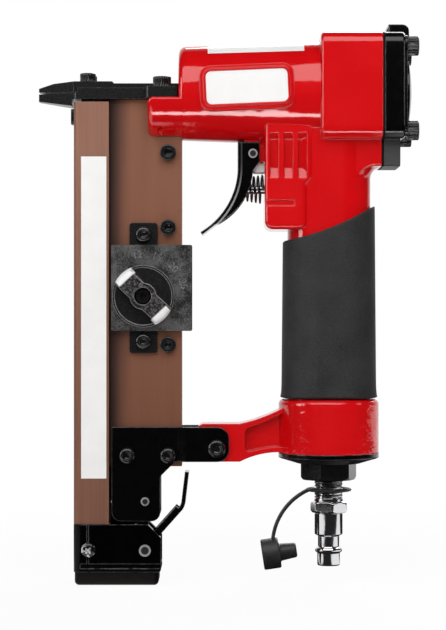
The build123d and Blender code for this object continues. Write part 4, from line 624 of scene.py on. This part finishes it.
def rounded(points, cut, steps=5):
    """A profile whose inner corners become parabolas that start and end a cut away from the corner."""
    points = np.asarray(points, float)
    corner = points[1:-1, None, :]
    start = corner + cut * unit(points[:-2] - points[1:-1])[:, None, :]
    end = corner + cut * unit(points[2:] - points[1:-1])[:, None, :]
    t = np.linspace(0, 1, steps)[None, :, None]
    curves = (1 - t) ** 2 * start + 2 * t * (1 - t) * corner + t ** 2 * end
    return np.concatenate([points[:1], curves.reshape(-1, 2), points[-1:]])


def arc_through(first, between, last, count):
    """Points on the circle through three points of a plane, at equal turns from first to last."""
    first, between, last = (np.array(point, float) for point in (first, between, last))
    sides = 2 * np.stack([between - first, last - first])
    squares = [between @ between - first @ first, last @ last - first @ first]
    centre = np.linalg.solve(sides, squares)
    start, stop = (math.atan2(*(point - centre)[::-1]) for point in (first, last))
    angle = np.linspace(start, start + (stop - start + math.pi) % math.tau - math.pi, count)
    return centre + np.linalg.norm(first - centre) * np.stack([np.cos(angle), np.sin(angle)], -1)


def axis_frame(axis):
    """Two unit vectors across an axis, and the axis as a unit vector."""
    along = unit(axis)
    off_axis = (0.0, 0.0, 1.0) if abs(along[2]) < 0.9 else (0.0, 1.0, 0.0)
    side = unit(np.cross(along, off_axis))
    return side, np.cross(along, side), along


def full_turn(count):
    """Angles at equal steps round a full turn."""
    return np.linspace(0, math.tau, count, endpoint=False)


def turned_points(radius, height, place, axis):
    """Points about an axis: a radius by row and step round the turn, and a height by row."""
    side, other, along = axis_frame(axis)
    angle = full_turn(radius.shape[1])[None, :, None]
    across = np.cos(angle) * side + np.sin(angle) * other
    return np.asarray(place) + radius[..., None] * across + height[..., None] * along


def revolved(profile, place, axis, columns, closed=False):
    """Points and faces of a (radius, height) profile carried round an axis; a closed one is a ring."""
    radius = np.repeat(profile[:, :1], columns, 1)
    faces = grid_faces(len(profile), columns, wrap_rows=closed, wrap_columns=True)
    return turned_points(radius, profile[:, 1:], place, axis), faces


def joined(parts):
    """Points and faces of several grids as one pair of arrays."""
    sizes = [points.size // 3 for points, _ in parts]
    starts = np.cumsum([0] + sizes[:-1])
    points = np.concatenate([points.reshape(-1, 3) for points, _ in parts])
    return points, np.concatenate([faces + start for (_, faces), start in zip(parts, starts)])


def closed_up(piece):
    """Merge a piece's poles and seams, and turn its faces outwards."""
    work = bmesh.new()
    work.from_mesh(piece.data)
    bmesh.ops.remove_doubles(work, verts=work.verts, dist=1e-6)
    bmesh.ops.recalc_face_normals(work, faces=work.faces)
    work.to_mesh(piece.data)
    work.free()
    return piece


def flat_sided(piece):
    """Let large faces keep their own normals, so that only rounded edges shade round."""
    weighted = piece.modifiers.new("flat_sides", "WEIGHTED_NORMAL")
    weighted.keep_sharp = False


# Bare labels and dial numbers


def barrel_label():
    """A bare strip on the barrel's crown: length by angle about the drive axis, just off the cone."""
    rows, columns, proud = 24, 40, 0.12 * mm
    front_x, back_x = -66.4 * mm, -4.3 * mm
    front_r, back_r = 20.7 * mm, 22.9 * mm
    x = np.linspace(-53.6 * mm, -11.3 * mm, rows)[:, None]
    angle = np.radians(np.linspace(-38, 40, columns))[None, :]
    radius = front_r + (back_r - front_r) * (x - front_x) / (back_x - front_x) + proud
    z = middle("cylinder_sleeve")[2] + radius * np.cos(angle)
    points = np.stack(np.broadcast_arrays(x, -radius * np.sin(angle), z), -1)
    new_piece("barrel_label", points, grid_faces(rows, columns), "white_plate", "housing")


def magazine_label():
    """A bare strip on the cover's near side: a thin flat grid."""
    rows, columns, proud = 60, 8, 0.1 * mm
    x = np.linspace(-109.3 * mm, -98.2 * mm, columns)[None, :]
    y = low_corner("magazine_cover")[1] - proud
    z = np.linspace(39.2 * mm, 180.8 * mm, rows)[:, None]
    points = np.stack(np.broadcast_arrays(x, y, z), -1)
    new_piece("magazine_label", points, grid_faces(rows, columns), "white_plate", "cover")


def dial_number(figures, angle):
    """Raised figures on the dial, read outwards from the knob's axis at an angle: outlines turned and
    laid on the plate's near face."""
    name = "dial_number_" + figures
    tall, raised, reach = 4.4 * mm, 0.08 * mm, 18.3 * mm
    outline = bpy.data.curves.new(name, "FONT")
    outline.body = figures
    outline.size = tall
    outline.align_x = "CENTER"
    outline.align_y = "CENTER"
    outline.extrude = raised
    outline.resolution_u = 6
    shape = bpy.data.objects.new("outline", outline)
    mesh = bpy.data.meshes.new_from_object(shape)
    bpy.data.objects.remove(shape)
    flat = np.empty(len(mesh.vertices) * 3)
    mesh.vertices.foreach_get("co", flat)
    right, up, out = flat.reshape(-1, 3).T
    turn = math.radians(angle)
    knob = middle("length_knob")
    x = knob[0] + right * math.sin(turn) + (reach + up) * math.cos(turn)
    y = low_corner("dial_plate")[1] - out
    z = knob[2] - right * math.cos(turn) + (reach + up) * math.sin(turn)
    mesh.vertices.foreach_set("co", np.stack([x, y, z], -1).ravel())
    mesh.materials.clear()
    add_piece(name, mesh, "dial_mark", "housing")


barrel_label()
magazine_label()
for figures, angle in (("12", 98), ("15", 71), ("20", 44), ("25", 17)):
    dial_number(figures, angle)

# Grip, dust cap, air plug, screws, rivet, springs and small blocks


def rounded_rectangle(half_x, half_y, corner, count):
    """A rectangle with quarter-circle corners, walked round in equal steps of length."""
    turn = np.linspace(0, math.pi / 2, 25)
    angle = (turn[None, :] + np.arange(4)[:, None] * math.pi / 2).ravel()
    x = np.repeat([1, -1, -1, 1], len(turn)) * (half_x - corner) + corner * np.cos(angle)
    y = np.repeat([1, 1, -1, -1], len(turn)) * (half_y - corner) + corner * np.sin(angle)
    x = np.append(x, x[0])
    y = np.append(y, y[0])
    length = np.append(0, np.cumsum(np.hypot(np.diff(x), np.diff(y))))
    steps = np.linspace(0, length[-1], count, endpoint=False)
    return np.interp(steps, length, x), np.interp(steps, length, y)


def grip_skin():
    """The grip's outer skin: the handle's rounded rectangle, offset outwards along its own normals by a
    wall that starts at the casting, rolls out over a lip at the foot, runs up and rolls in over the
    slanted top, whose height is a parabola of X."""
    columns, rows = 220, 90
    half_x, half_y, corner = 18.3 * mm, 16.0 * mm, 13.0 * mm
    wall, flare, lip, lip_fade, tuck = 2.0 * mm, 0.6 * mm, 0.5 * mm, 2.2 * mm, 0.1 * mm
    low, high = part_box("grip_sleeve")
    x, y = rounded_rectangle(half_x, half_y, corner, columns)
    tangent = unit(np.stack([np.roll(x, -1) - np.roll(x, 1), np.roll(y, -1) - np.roll(y, 1)], -1))
    front, centre, back = (-24.3 * mm, 143.3 * mm), (0.0, 149.3 * mm), (24.3 * mm, 162.3 * mm)
    slant = np.polyfit(*zip(front, centre, back), 2)
    share = np.linspace(0, 1, rows)
    body = wall + flare * (1 - share) + lip * np.exp(-share * (high.z - low.z) / lip_fade)
    foot, top = [tuck, 0.6 * wall, wall + flare], [0.7 * wall, tuck]
    offset = np.concatenate([foot, body, top])[:, None]
    rise = np.concatenate([[0, 0, 0.004], 0.008 + 0.984 * share, [0.9985, 1.0]])[:, None]
    out_x = x[None, :] + offset * tangent[None, :, 1]
    out_y = y[None, :] - offset * tangent[None, :, 0]
    top_z = np.polyval(slant, out_x)
    points = np.stack([out_x, out_y, low.z + (top_z - low.z) * rise], -1)
    faces = grid_faces(len(offset), columns, wrap_columns=True)
    piece = new_piece("grip_skin", points, faces, "grip_rubber", "housing")
    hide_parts("grip_sleeve")


def dust_cap_moulding():
    """Ring, strap and stopper in one moulding: a ring turned about the plug, a rounded strap whose
    section is carried along an arc, and a stopper turned about its own tilted axis."""
    sides = 16
    angle = full_turn(sides)
    ring_z, ring_inner, ring_outer, ring_half = 33.6 * mm, 6.9 * mm, 10.2 * mm, 0.8 * mm
    middle_r, reach = (ring_outer + ring_inner) / 2, (ring_outer - ring_inner) / 2
    section = np.stack([middle_r + reach * np.cos(angle), ring_half * np.sin(angle)], -1)
    ring = revolved(section, (0, 0, ring_z), (0, 0, 1), 96, closed=True)
    thickness, width, squareness = 1.6 * mm, 4.4 * mm, 0.45
    path = arc_through((-8.6, 33.6), (-19.1, 25.5), (-24.8, 11.1), 60) * mm
    along = unit(np.gradient(path, axis=0))
    square = np.stack([np.cos(angle), np.sin(angle)], -1)
    square = np.sign(square) * np.abs(square) ** squareness
    out = along[:, None, ::-1] * np.array([-1, 1]) * square[None, :, :1] * thickness / 2
    flat = path[:, None, :] + out
    side = np.broadcast_to(square[None, :, 1] * width / 2, flat.shape[:2])
    strap = np.stack([flat[..., 0], side, flat[..., 1]], -1)
    ends = np.stack([strap[0].mean(0), strap[-1].mean(0)])[:, None, :].repeat(sides, 1)
    strap = np.concatenate([ends[:1], strap, ends[1:]])
    strap_faces = grid_faces(len(strap), sides, wrap_columns=True)
    tilt, stopper_place = math.radians(8.5), (-25.6 * mm, 0, 5.1 * mm)
    head_r, head, stem_r, tip_r, stem = 6.8 * mm, 7.8 * mm, 3.9 * mm, 3.2 * mm, 7.6 * mm
    outline = [(0, -head / 2), (head_r, -head / 2), (head_r, head / 2), (stem_r, head / 2)]
    outline += [(tip_r, head / 2 + stem), (0, head / 2 + stem)]
    axis = (math.cos(tilt), 0, math.sin(tilt))
    stopper = revolved(rounded(outline, 0.9 * mm), stopper_place, axis, 72)
    points, faces = joined([ring, (strap, strap_faces), stopper])
    piece = new_piece("dust_cap_moulding", points, faces, "black_rubber", "plug_cover")
    flat_sided(closed_up(piece))
    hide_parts("dust_cap")


def hexagon(half_flats, turn, columns):
    """Radius of a hexagon at each step round the turn: half its flats over the cosine of the angle from
    the nearest flat's middle."""
    angle = full_turn(columns) - turn
    return half_flats / np.cos((angle + math.pi / 6) % (math.pi / 3) - math.pi / 6)


def air_plug_turned():
    """The air plug as one skin of radius by height, down the bore and up the outside: plain turned
    steps with rounded edges, a hexagon cut off by a cone at its corners, and a thread whose radius is a
    wave of height and turn. Sizes in mm, until they are turned."""
    columns = 240
    bore, top, neck_r = 3.5, 45.9, 6.4
    hex_low, hex_high, half_flats = 23.5, 28.4, 7.3
    pitch, crest_r, thread_depth = 1.25, 6.42, 0.42
    steps = [(bore, top), (bore, 0.5), (3.9, 0.0), (4.7, 0.0), (5.0, 0.5), (5.0, 5.5), (5.3, 5.8)]
    steps += [(5.7, 6.0), (6.0, 6.5), (6.0, 7.2), (5.6, 7.9), (5.0, 8.0), (4.7, 8.5), (4.7, 13.0)]
    steps += [(5.2, 13.55), (5.8, 13.6), (6.2, 14.0), (6.2, 23.1), (6.0, 23.3), (6.0, hex_low)]
    profile = rounded(steps, 0.12, 4)
    level = [hex_low, 23.55, 23.9, 24.4, 25.0, 26.0, 27.0, 27.6, 28.0, 28.35, hex_high]
    level = np.array(level)[:, None]
    cone = 7.35 + 1.7 * np.minimum(level - hex_low, hex_high - level)
    hexed = np.minimum(hexagon(half_flats, math.radians(11), columns)[None, :], cone)
    hexed[[0, -1]] = neck_r
    climb = np.linspace(28.5, 38.0, 120)[:, None]
    wave = np.abs(((climb / pitch - full_turn(columns)[None, :] / math.tau) % 1.0) * 2 - 1)
    fade = np.clip((climb - 29.6) / 0.8, 0, 1)
    thread = crest_r - thread_depth * wave * fade
    end = np.array([(neck_r, 38.1), (neck_r, top), (bore, top)])
    plain, tip = (np.repeat(part[:, :1], columns, 1) for part in (profile, end))
    radius = np.concatenate([plain, hexed, thread, tip]) * mm
    height = np.concatenate([profile[:, 1:], level, climb, end[:, 1:]]) * mm
    points = turned_points(radius, height, (0, 0, 0), (0, 0, 1))
    faces = grid_faces(len(radius), columns, wrap_columns=True)
    piece = new_piece("air_plug_turned", points, faces, "chrome_plate", "housing")
    flat_sided(closed_up(piece))
    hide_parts("air_plug")


def socket_screw(head_r, head, shank_r, shank, seat, axis, knurls=0):
    """A screw as one skin of radius by height: shank, head with a straight knurl whose radius is a wave
    round the turn, rounded rim, and a hexagon socket. The seat is the underside of the head."""
    columns = 12 * knurls if knurls else 120
    crown = 0.5 * mm if knurls else 0.55 * head
    knurl_depth, chamfer = 0.34 * mm, 0.15 * mm
    ring = np.ones(columns)
    ridge = 0.5 + 0.5 * np.cos(knurls * full_turn(columns))
    rim = head_r - knurl_depth * ridge * bool(knurls)
    socket = hexagon(0.72 * shank_r + 0.30 * mm, 0.3, columns)
    rows = [(0 * ring, -shank), (shank_r * ring, -shank), (shank_r * ring, 0.0)]
    rows += [((head_r - chamfer) * ring, 0.0)]
    rows += [(rim, 0.12 * mm), (rim, 0.3 * head), (rim, head - crown)]
    for turn in np.linspace(0.15, 1, 5) * math.pi / 2:
        radius = head_r - crown * (1 - math.cos(turn))
        rows += [(radius * ring, head - crown * (1 - math.sin(turn)))]
    rows += [(socket + 0.35 * mm, head), (socket + 0.1 * mm, head - 0.05 * mm)]
    rows += [(socket, head - 0.3 * mm), (socket, 0.35 * head)]
    rows += [(0.5 * socket, 0.30 * head), (0 * ring, 0.26 * head)]
    radius = np.stack([row for row, _ in rows])
    height = np.array([level for _, level in rows])[:, None]
    faces = grid_faces(len(rows), columns, wrap_columns=True)
    return turned_points(radius, height, seat, axis), faces


def screws(node, seats, axes, head_r, head, shank_r, shank, knurls=0):
    """All the screws of one node, at their seats, in its place, along one axis or each along its own.
    Sizes in mm."""
    axes = np.broadcast_to(np.array(axes, float), (len(seats), 3))
    sizes = [size * mm for size in (head_r, head, shank_r, shank)]
    parts = [
        socket_screw(*sizes, np.array(seat) * mm, axis, knurls) for seat, axis in zip(seats, axes)
    ]
    points, faces = joined(parts)
    piece = new_piece(node + "_cut", points, faces, "bolt_black", "housing")
    flat_sided(closed_up(piece))
    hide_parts(node)


def end_block_rivet():
    """A rivet with a low domed head on each side of the end block: a half ellipse of radius by height,
    turned."""
    head_r, head, sunk, root = 3.2 * mm, 1.3 * mm, 0.05 * mm, 0.3 * mm
    x, z = -106.1 * mm, 7.8 * mm
    near, far = low_corner("end_block")[1], high_corner("end_block")[1]
    turn = np.linspace(0, math.pi / 2, 14)
    dome = np.stack([head_r * np.cos(turn), head * np.sin(turn) - sunk], -1)
    profile = np.concatenate([[(0, -root), (head_r, -root)], dome])
    seats = [((x, near, z), (0, -1, 0)), ((x, far, z), (0, 1, 0))]
    points, faces = joined([revolved(profile, seat, axis, 48) for seat, axis in seats])
    closed_up(new_piece("end_block_rivet", points, faces, "chipped_black", "cover"))


def coil_spring(
    node, body, start, axis, length, turns, first_r, last_r, wire, fixed_end
):
    """A spring with a fixed end, 0 or 1: a round wire whose middle line climbs evenly along an axis as
    it turns, its radius changing evenly, closed at both ends. Sizes in mm."""
    steps, sides = 40 * turns + 1, 12
    side, other, along = axis_frame(axis)
    share = np.linspace(0, 1, steps)[:, None]
    turn = math.tau * turns * share
    out = np.cos(turn) * side + np.sin(turn) * other
    radius = first_r + (last_r - first_r) * share
    line = np.array(start) + radius * out + length * share * along
    heading = unit(np.gradient(line, axis=0))
    across = unit(out - (out * heading).sum(-1, keepdims=True) * heading)
    angle = full_turn(sides)[None, :, None]
    ring = np.cos(angle) * across[:, None] + np.sin(angle) * np.cross(heading, across)[:, None]
    tube = line[:, None] + wire * ring
    caps = line[[0, -1], None].repeat(sides, 1)
    points = np.concatenate([caps[:1], tube, caps[1:]]) * mm
    faces = grid_faces(len(points), sides, wrap_columns=True)
    piece = closed_up(new_piece(node + "_wire", points, faces, "spring_steel", body))
    anchor = np.array(start) + along * (length * fixed_end + wire * (2 * fixed_end - 1))
    tuple(anchor * mm)
    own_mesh(piece)
    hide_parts(node)


def rounded_block(name, low, high, corner, finish):
    """A block from one corner to another: a rounded rectangle across X and Z, carried along Y, drawn in
    by a quarter circle at both ends, which are closed at their middles. Sizes in mm."""
    columns = 64
    low, high, corner = np.array(low) * mm, np.array(high) * mm, corner * mm
    centre, half = (low + high) / 2, (high - low) / 2
    turn = np.linspace(0, math.pi / 2, 6)
    inset = corner * (1 - np.sin(turn))
    depth = half[1] - corner * (1 - np.cos(turn))
    closing = inset[:1] + half.max()
    inset = np.concatenate([closing, inset, inset[::-1], closing])
    depth = np.concatenate([-depth[:1], -depth, depth[::-1], depth[:1]])
    x, z = rounded_rectangle(half[0], half[2], corner, columns)
    shrink_x = np.clip(1 - inset / half[0], 0, 1)[:, None]
    shrink_z = np.clip(1 - inset / half[2], 0, 1)[:, None]
    points = np.stack(np.broadcast_arrays(x * shrink_x, depth[:, None], z * shrink_z), -1) + centre
    faces = grid_faces(len(inset), columns, wrap_columns=True)
    flat_sided(closed_up(new_piece(name, points, faces, finish, "housing")))


grip_skin()
dust_cap_moulding()
air_plug_turned()
end_block_rivet()
rounded_block("trigger_lug_web", (-37.6, -5.6, 183.5), (-28.3, 5.6, 188.4), 0.6, "red_enamel")
rounded_block("cover_stop", (-98.6, -3.0, 28.6), (-88.0, 3.0, 44.4), 0.6, "black_enamel")
rounded_block("valve_guide", (-33.6, -4.6, 173.9), (-28.4, 4.6, 178.4), 0.8, "acetal")

coil_spring(
    "trigger_spring", "housing", start=(-38.32, 0, 166.85), axis=(1, 0, 0), length=9.22, turns=5,
    first_r=4.7, last_r=6.2, wire=0.45, fixed_end=1,
)
coil_spring(
    "head_valve_spring", "housing", start=(7.55, 0, 209.25), axis=(1, 0, 0), length=19.95, turns=4,
    first_r=8.6, last_r=8.6, wire=0.55, fixed_end=1,
)
coil_spring(
    "pusher_spring", "cover", start=(-103.2, 0, 39.55), axis=(0, 0, 1), length=147.75, turns=20,
    first_r=2.3, last_r=2.3, wire=0.45, fixed_end=0,
)

to_rear, to_near, to_far, upwards = (1, 0, 0), (0, -1, 0), (0, 1, 0), (0, 0, 1)
knurled_screw = {"head_r": 3.5, "head": 3.7, "shank_r": 1.75, "knurls": 20}
button_screw = {"head_r": 3.5, "head": 2.4, "shank_r": 1.75, "shank": 7.4}
cap_seats = [(33.3, y, z) for y in (-18.5, 18.5) for z in (191.45, 228.25)]
screws("cap_bolts", cap_seats, to_rear, head_r=4.25, head=5.0, shank_r=2.5, shank=23.8, knurls=22)
nose_seats = [(-106.6, y, 214.15) for y in (-4.3, 4.3)]
screws("nose_screws", nose_seats, upwards, shank=7.7, **knurled_screw)
flange_seats = [(-73.6, y, 211.05) for y in (-13.0, 13.0)]
flange_screw = {"head_r": 4.0, "head": 4.4, "shank_r": 2.3, "knurls": 22}
screws("flange_screws", flange_seats, upwards, shank=12.9, **flange_screw)
plate_seats = [(-71.1, -7.0, z) for z in (98.05, 149.65, 182.65)]
screws("plate_screws", plate_seats, to_near, shank=12.4, **knurled_screw)
bracket_seats = [(x, y, 49.2) for y in (-9.0, 9.0) for x in (-89.1, -71.1)]
screws("bracket_screws", bracket_seats, [to_near, to_near, to_far, to_far], **button_screw)
screws("arm_bolt", [(-49.6, -10.5, 52.3)], to_near, head_r=4.0, head=2.4, shank_r=2.5, shank=24.6)
strip_seats = [(-81.9, -9.0, z) for z in (99.5, 146.5)]
screws("strip_screws", strip_seats, to_near, **button_screw)

# Studio: a pale floor, soft boxes and the photograph's camera
floor_z = cad_box[0].z - 0.4 * mm
camera_place = (-46.9 * mm, -930 * mm, 111.1 * mm)
camera_lens = 119.6


def studio_floor():
    """A wide flat floor that the camera sees as white, with the object's shadow left in it near the
    object. Reflections see it dark, but for strips at both sides and the part far behind."""
    p = Paint("studio_floor")
    p.nodes.remove(p.nodes["Principled BSDF"])
    seen, mirrored = p.rays()
    across, depth, _ = p.parts_of(p.coordinates())
    far = ((across * across + depth * depth) ** 0.5).between(0.15, 0.45)
    left_front = across.between(-0.13, -0.15) * depth.between(-0.26, -0.24)
    left_back = across.between(-0.07, -0.08) * depth.between(-0.06, -0.05)
    right = across.between(0.03, 0.05) * depth.between(-0.12, -0.10)
    strips = (left_front + left_back + right) * across.math("ABSOLUTE").between(0.50, 0.45)
    pale = strips * depth.between(0.08, 0.06) + depth.between(0.30, 0.45)
    shade = p.mix(pale.math("MINIMUM", 1.0), grey(0.02), grey(1.0))
    matt = p.node("BsdfDiffuse", {}, {"Color": grey(0.80)})
    bright = p.mix(mirrored, grey(1.0), shade)
    white = p.node("Emission", {}, {"Color": bright, "Strength": 1.0})
    p.split(seen * (0.94 + 0.06 * far) + mirrored, matt, white, "Material Output")
    half = 4.0
    corners = [(x * half, y * half, floor_z) for x, y in ((-1, -1), (1, -1), (1, 1), (-1, 1))]
    mesh = bpy.data.meshes.new("studio_floor")
    mesh.from_pydata(corners, [], [(0, 1, 2, 3)])
    mesh.materials.append(p.owner)
    floor = bpy.data.objects.new("studio_floor", mesh)
    bpy.context.scene.collection.objects.link(floor)


def studio_world():
    """White to the camera, and to reflections that leave behind the object; a dim room elsewhere."""
    world = bpy.data.worlds.new("studio_world")
    bpy.context.scene.world = world
    p = Paint("studio_world", world)
    seen, mirrored = p.rays()
    _, depth, _ = p.parts_of(p.node("TexCoord", {}, {}, "Generated"))
    behind = depth.between(0.45, 0.95)
    dim = p.mix(mirrored, grey(0.15), grey(0.02))
    room = p.node("Background", {}, {"Color": dim, "Strength": 1.0})
    white = p.node("Background", {}, {"Color": grey(1.0), "Strength": 1.0})
    p.split(seen + mirrored * behind, room, white, "World Output")


def soft_box(name, place, aim, width, height, radiance, card=None, mirrored=True):
    """A rectangular lamp that faces a point; its power follows from its area, radiance and spread. A
    card is seen in reflections only, and only within its angle, in degrees; a lamp that isn't mirrored
    only lights."""
    lamp = bpy.data.lights.new(name, "AREA")
    lamp.shape = "RECTANGLE"
    lamp.size = width
    lamp.size_y = height
    half = math.radians(card or 180) / 2
    lamp.spread = 2 * half
    lamp.energy = radiance * math.pi * width * height * (1 - half / math.tan(half))
    box = bpy.data.objects.new(name, lamp)
    box.location = place
    box.rotation_euler = (Vector(aim) - Vector(place)).to_track_quat("-Z", "Y").to_euler()
    box.visible_camera = False
    box.visible_diffuse = card is None
    box.visible_glossy = mirrored
    bpy.context.scene.collection.objects.link(box)


def studio_lights():
    """A broad fill near the camera, a large box high in front with a brighter card for its reflection,
    a low card whose reflection runs along the barrel, cards at both sides, and boxes for the back and
    the right."""
    handle, barrel, high_front = (-0.047, 0, 0.12), (-0.047, 0, 0.20), (-0.10, -0.55, 0.74)
    soft_box("fill_box", (-0.25, -1.20, 0.50), handle, 1.2, 0.8, radiance=2.3, mirrored=False)
    soft_box("upper_box", high_front, barrel, 1.2, 0.58, radiance=2.0)
    soft_box("upper_card", high_front, barrel, 1.2, 0.58, radiance=4.4, card=179)
    under_front, belly = (-0.047, -0.150, -0.006), (-0.047, -0.02, 0.205)
    soft_box("lower_card", under_front, belly, 0.50, 0.06, radiance=7.5, card=80)
    soft_box("right_card", (0.60, -0.16, 0.34), (0, 0, 0.24), 0.14, 0.19, radiance=4.0, card=60)
    soft_box("left_card", (-0.60, -0.22, 0.30), (-0.05, 0, 0.18), 0.20, 0.40, radiance=5.0, card=70)
    soft_box("back_box", (0.35, 0.90, 0.80), handle, 0.9, 0.6, radiance=5.0)
    soft_box("side_box", (1.00, -0.10, 0.70), (0, 0, 0.12), 0.6, 0.6, radiance=2.0, mirrored=False)


def studio_camera():
    """The photograph's view: level, along +Y, with the image's middle at the camera's own height."""
    lens = bpy.data.cameras.new("camera")
    lens.lens = camera_lens
    lens.sensor_width = 36
    camera = bpy.data.objects.new("camera", lens)
    camera.location = camera_place
    camera.rotation_euler = (math.pi / 2, 0, 0)
    bpy.context.scene.collection.objects.link(camera)
    bpy.context.scene.camera = camera


studio_floor()
studio_world()
studio_lights()
studio_camera()
bpy.context.scene.view_settings.view_transform = "Standard"
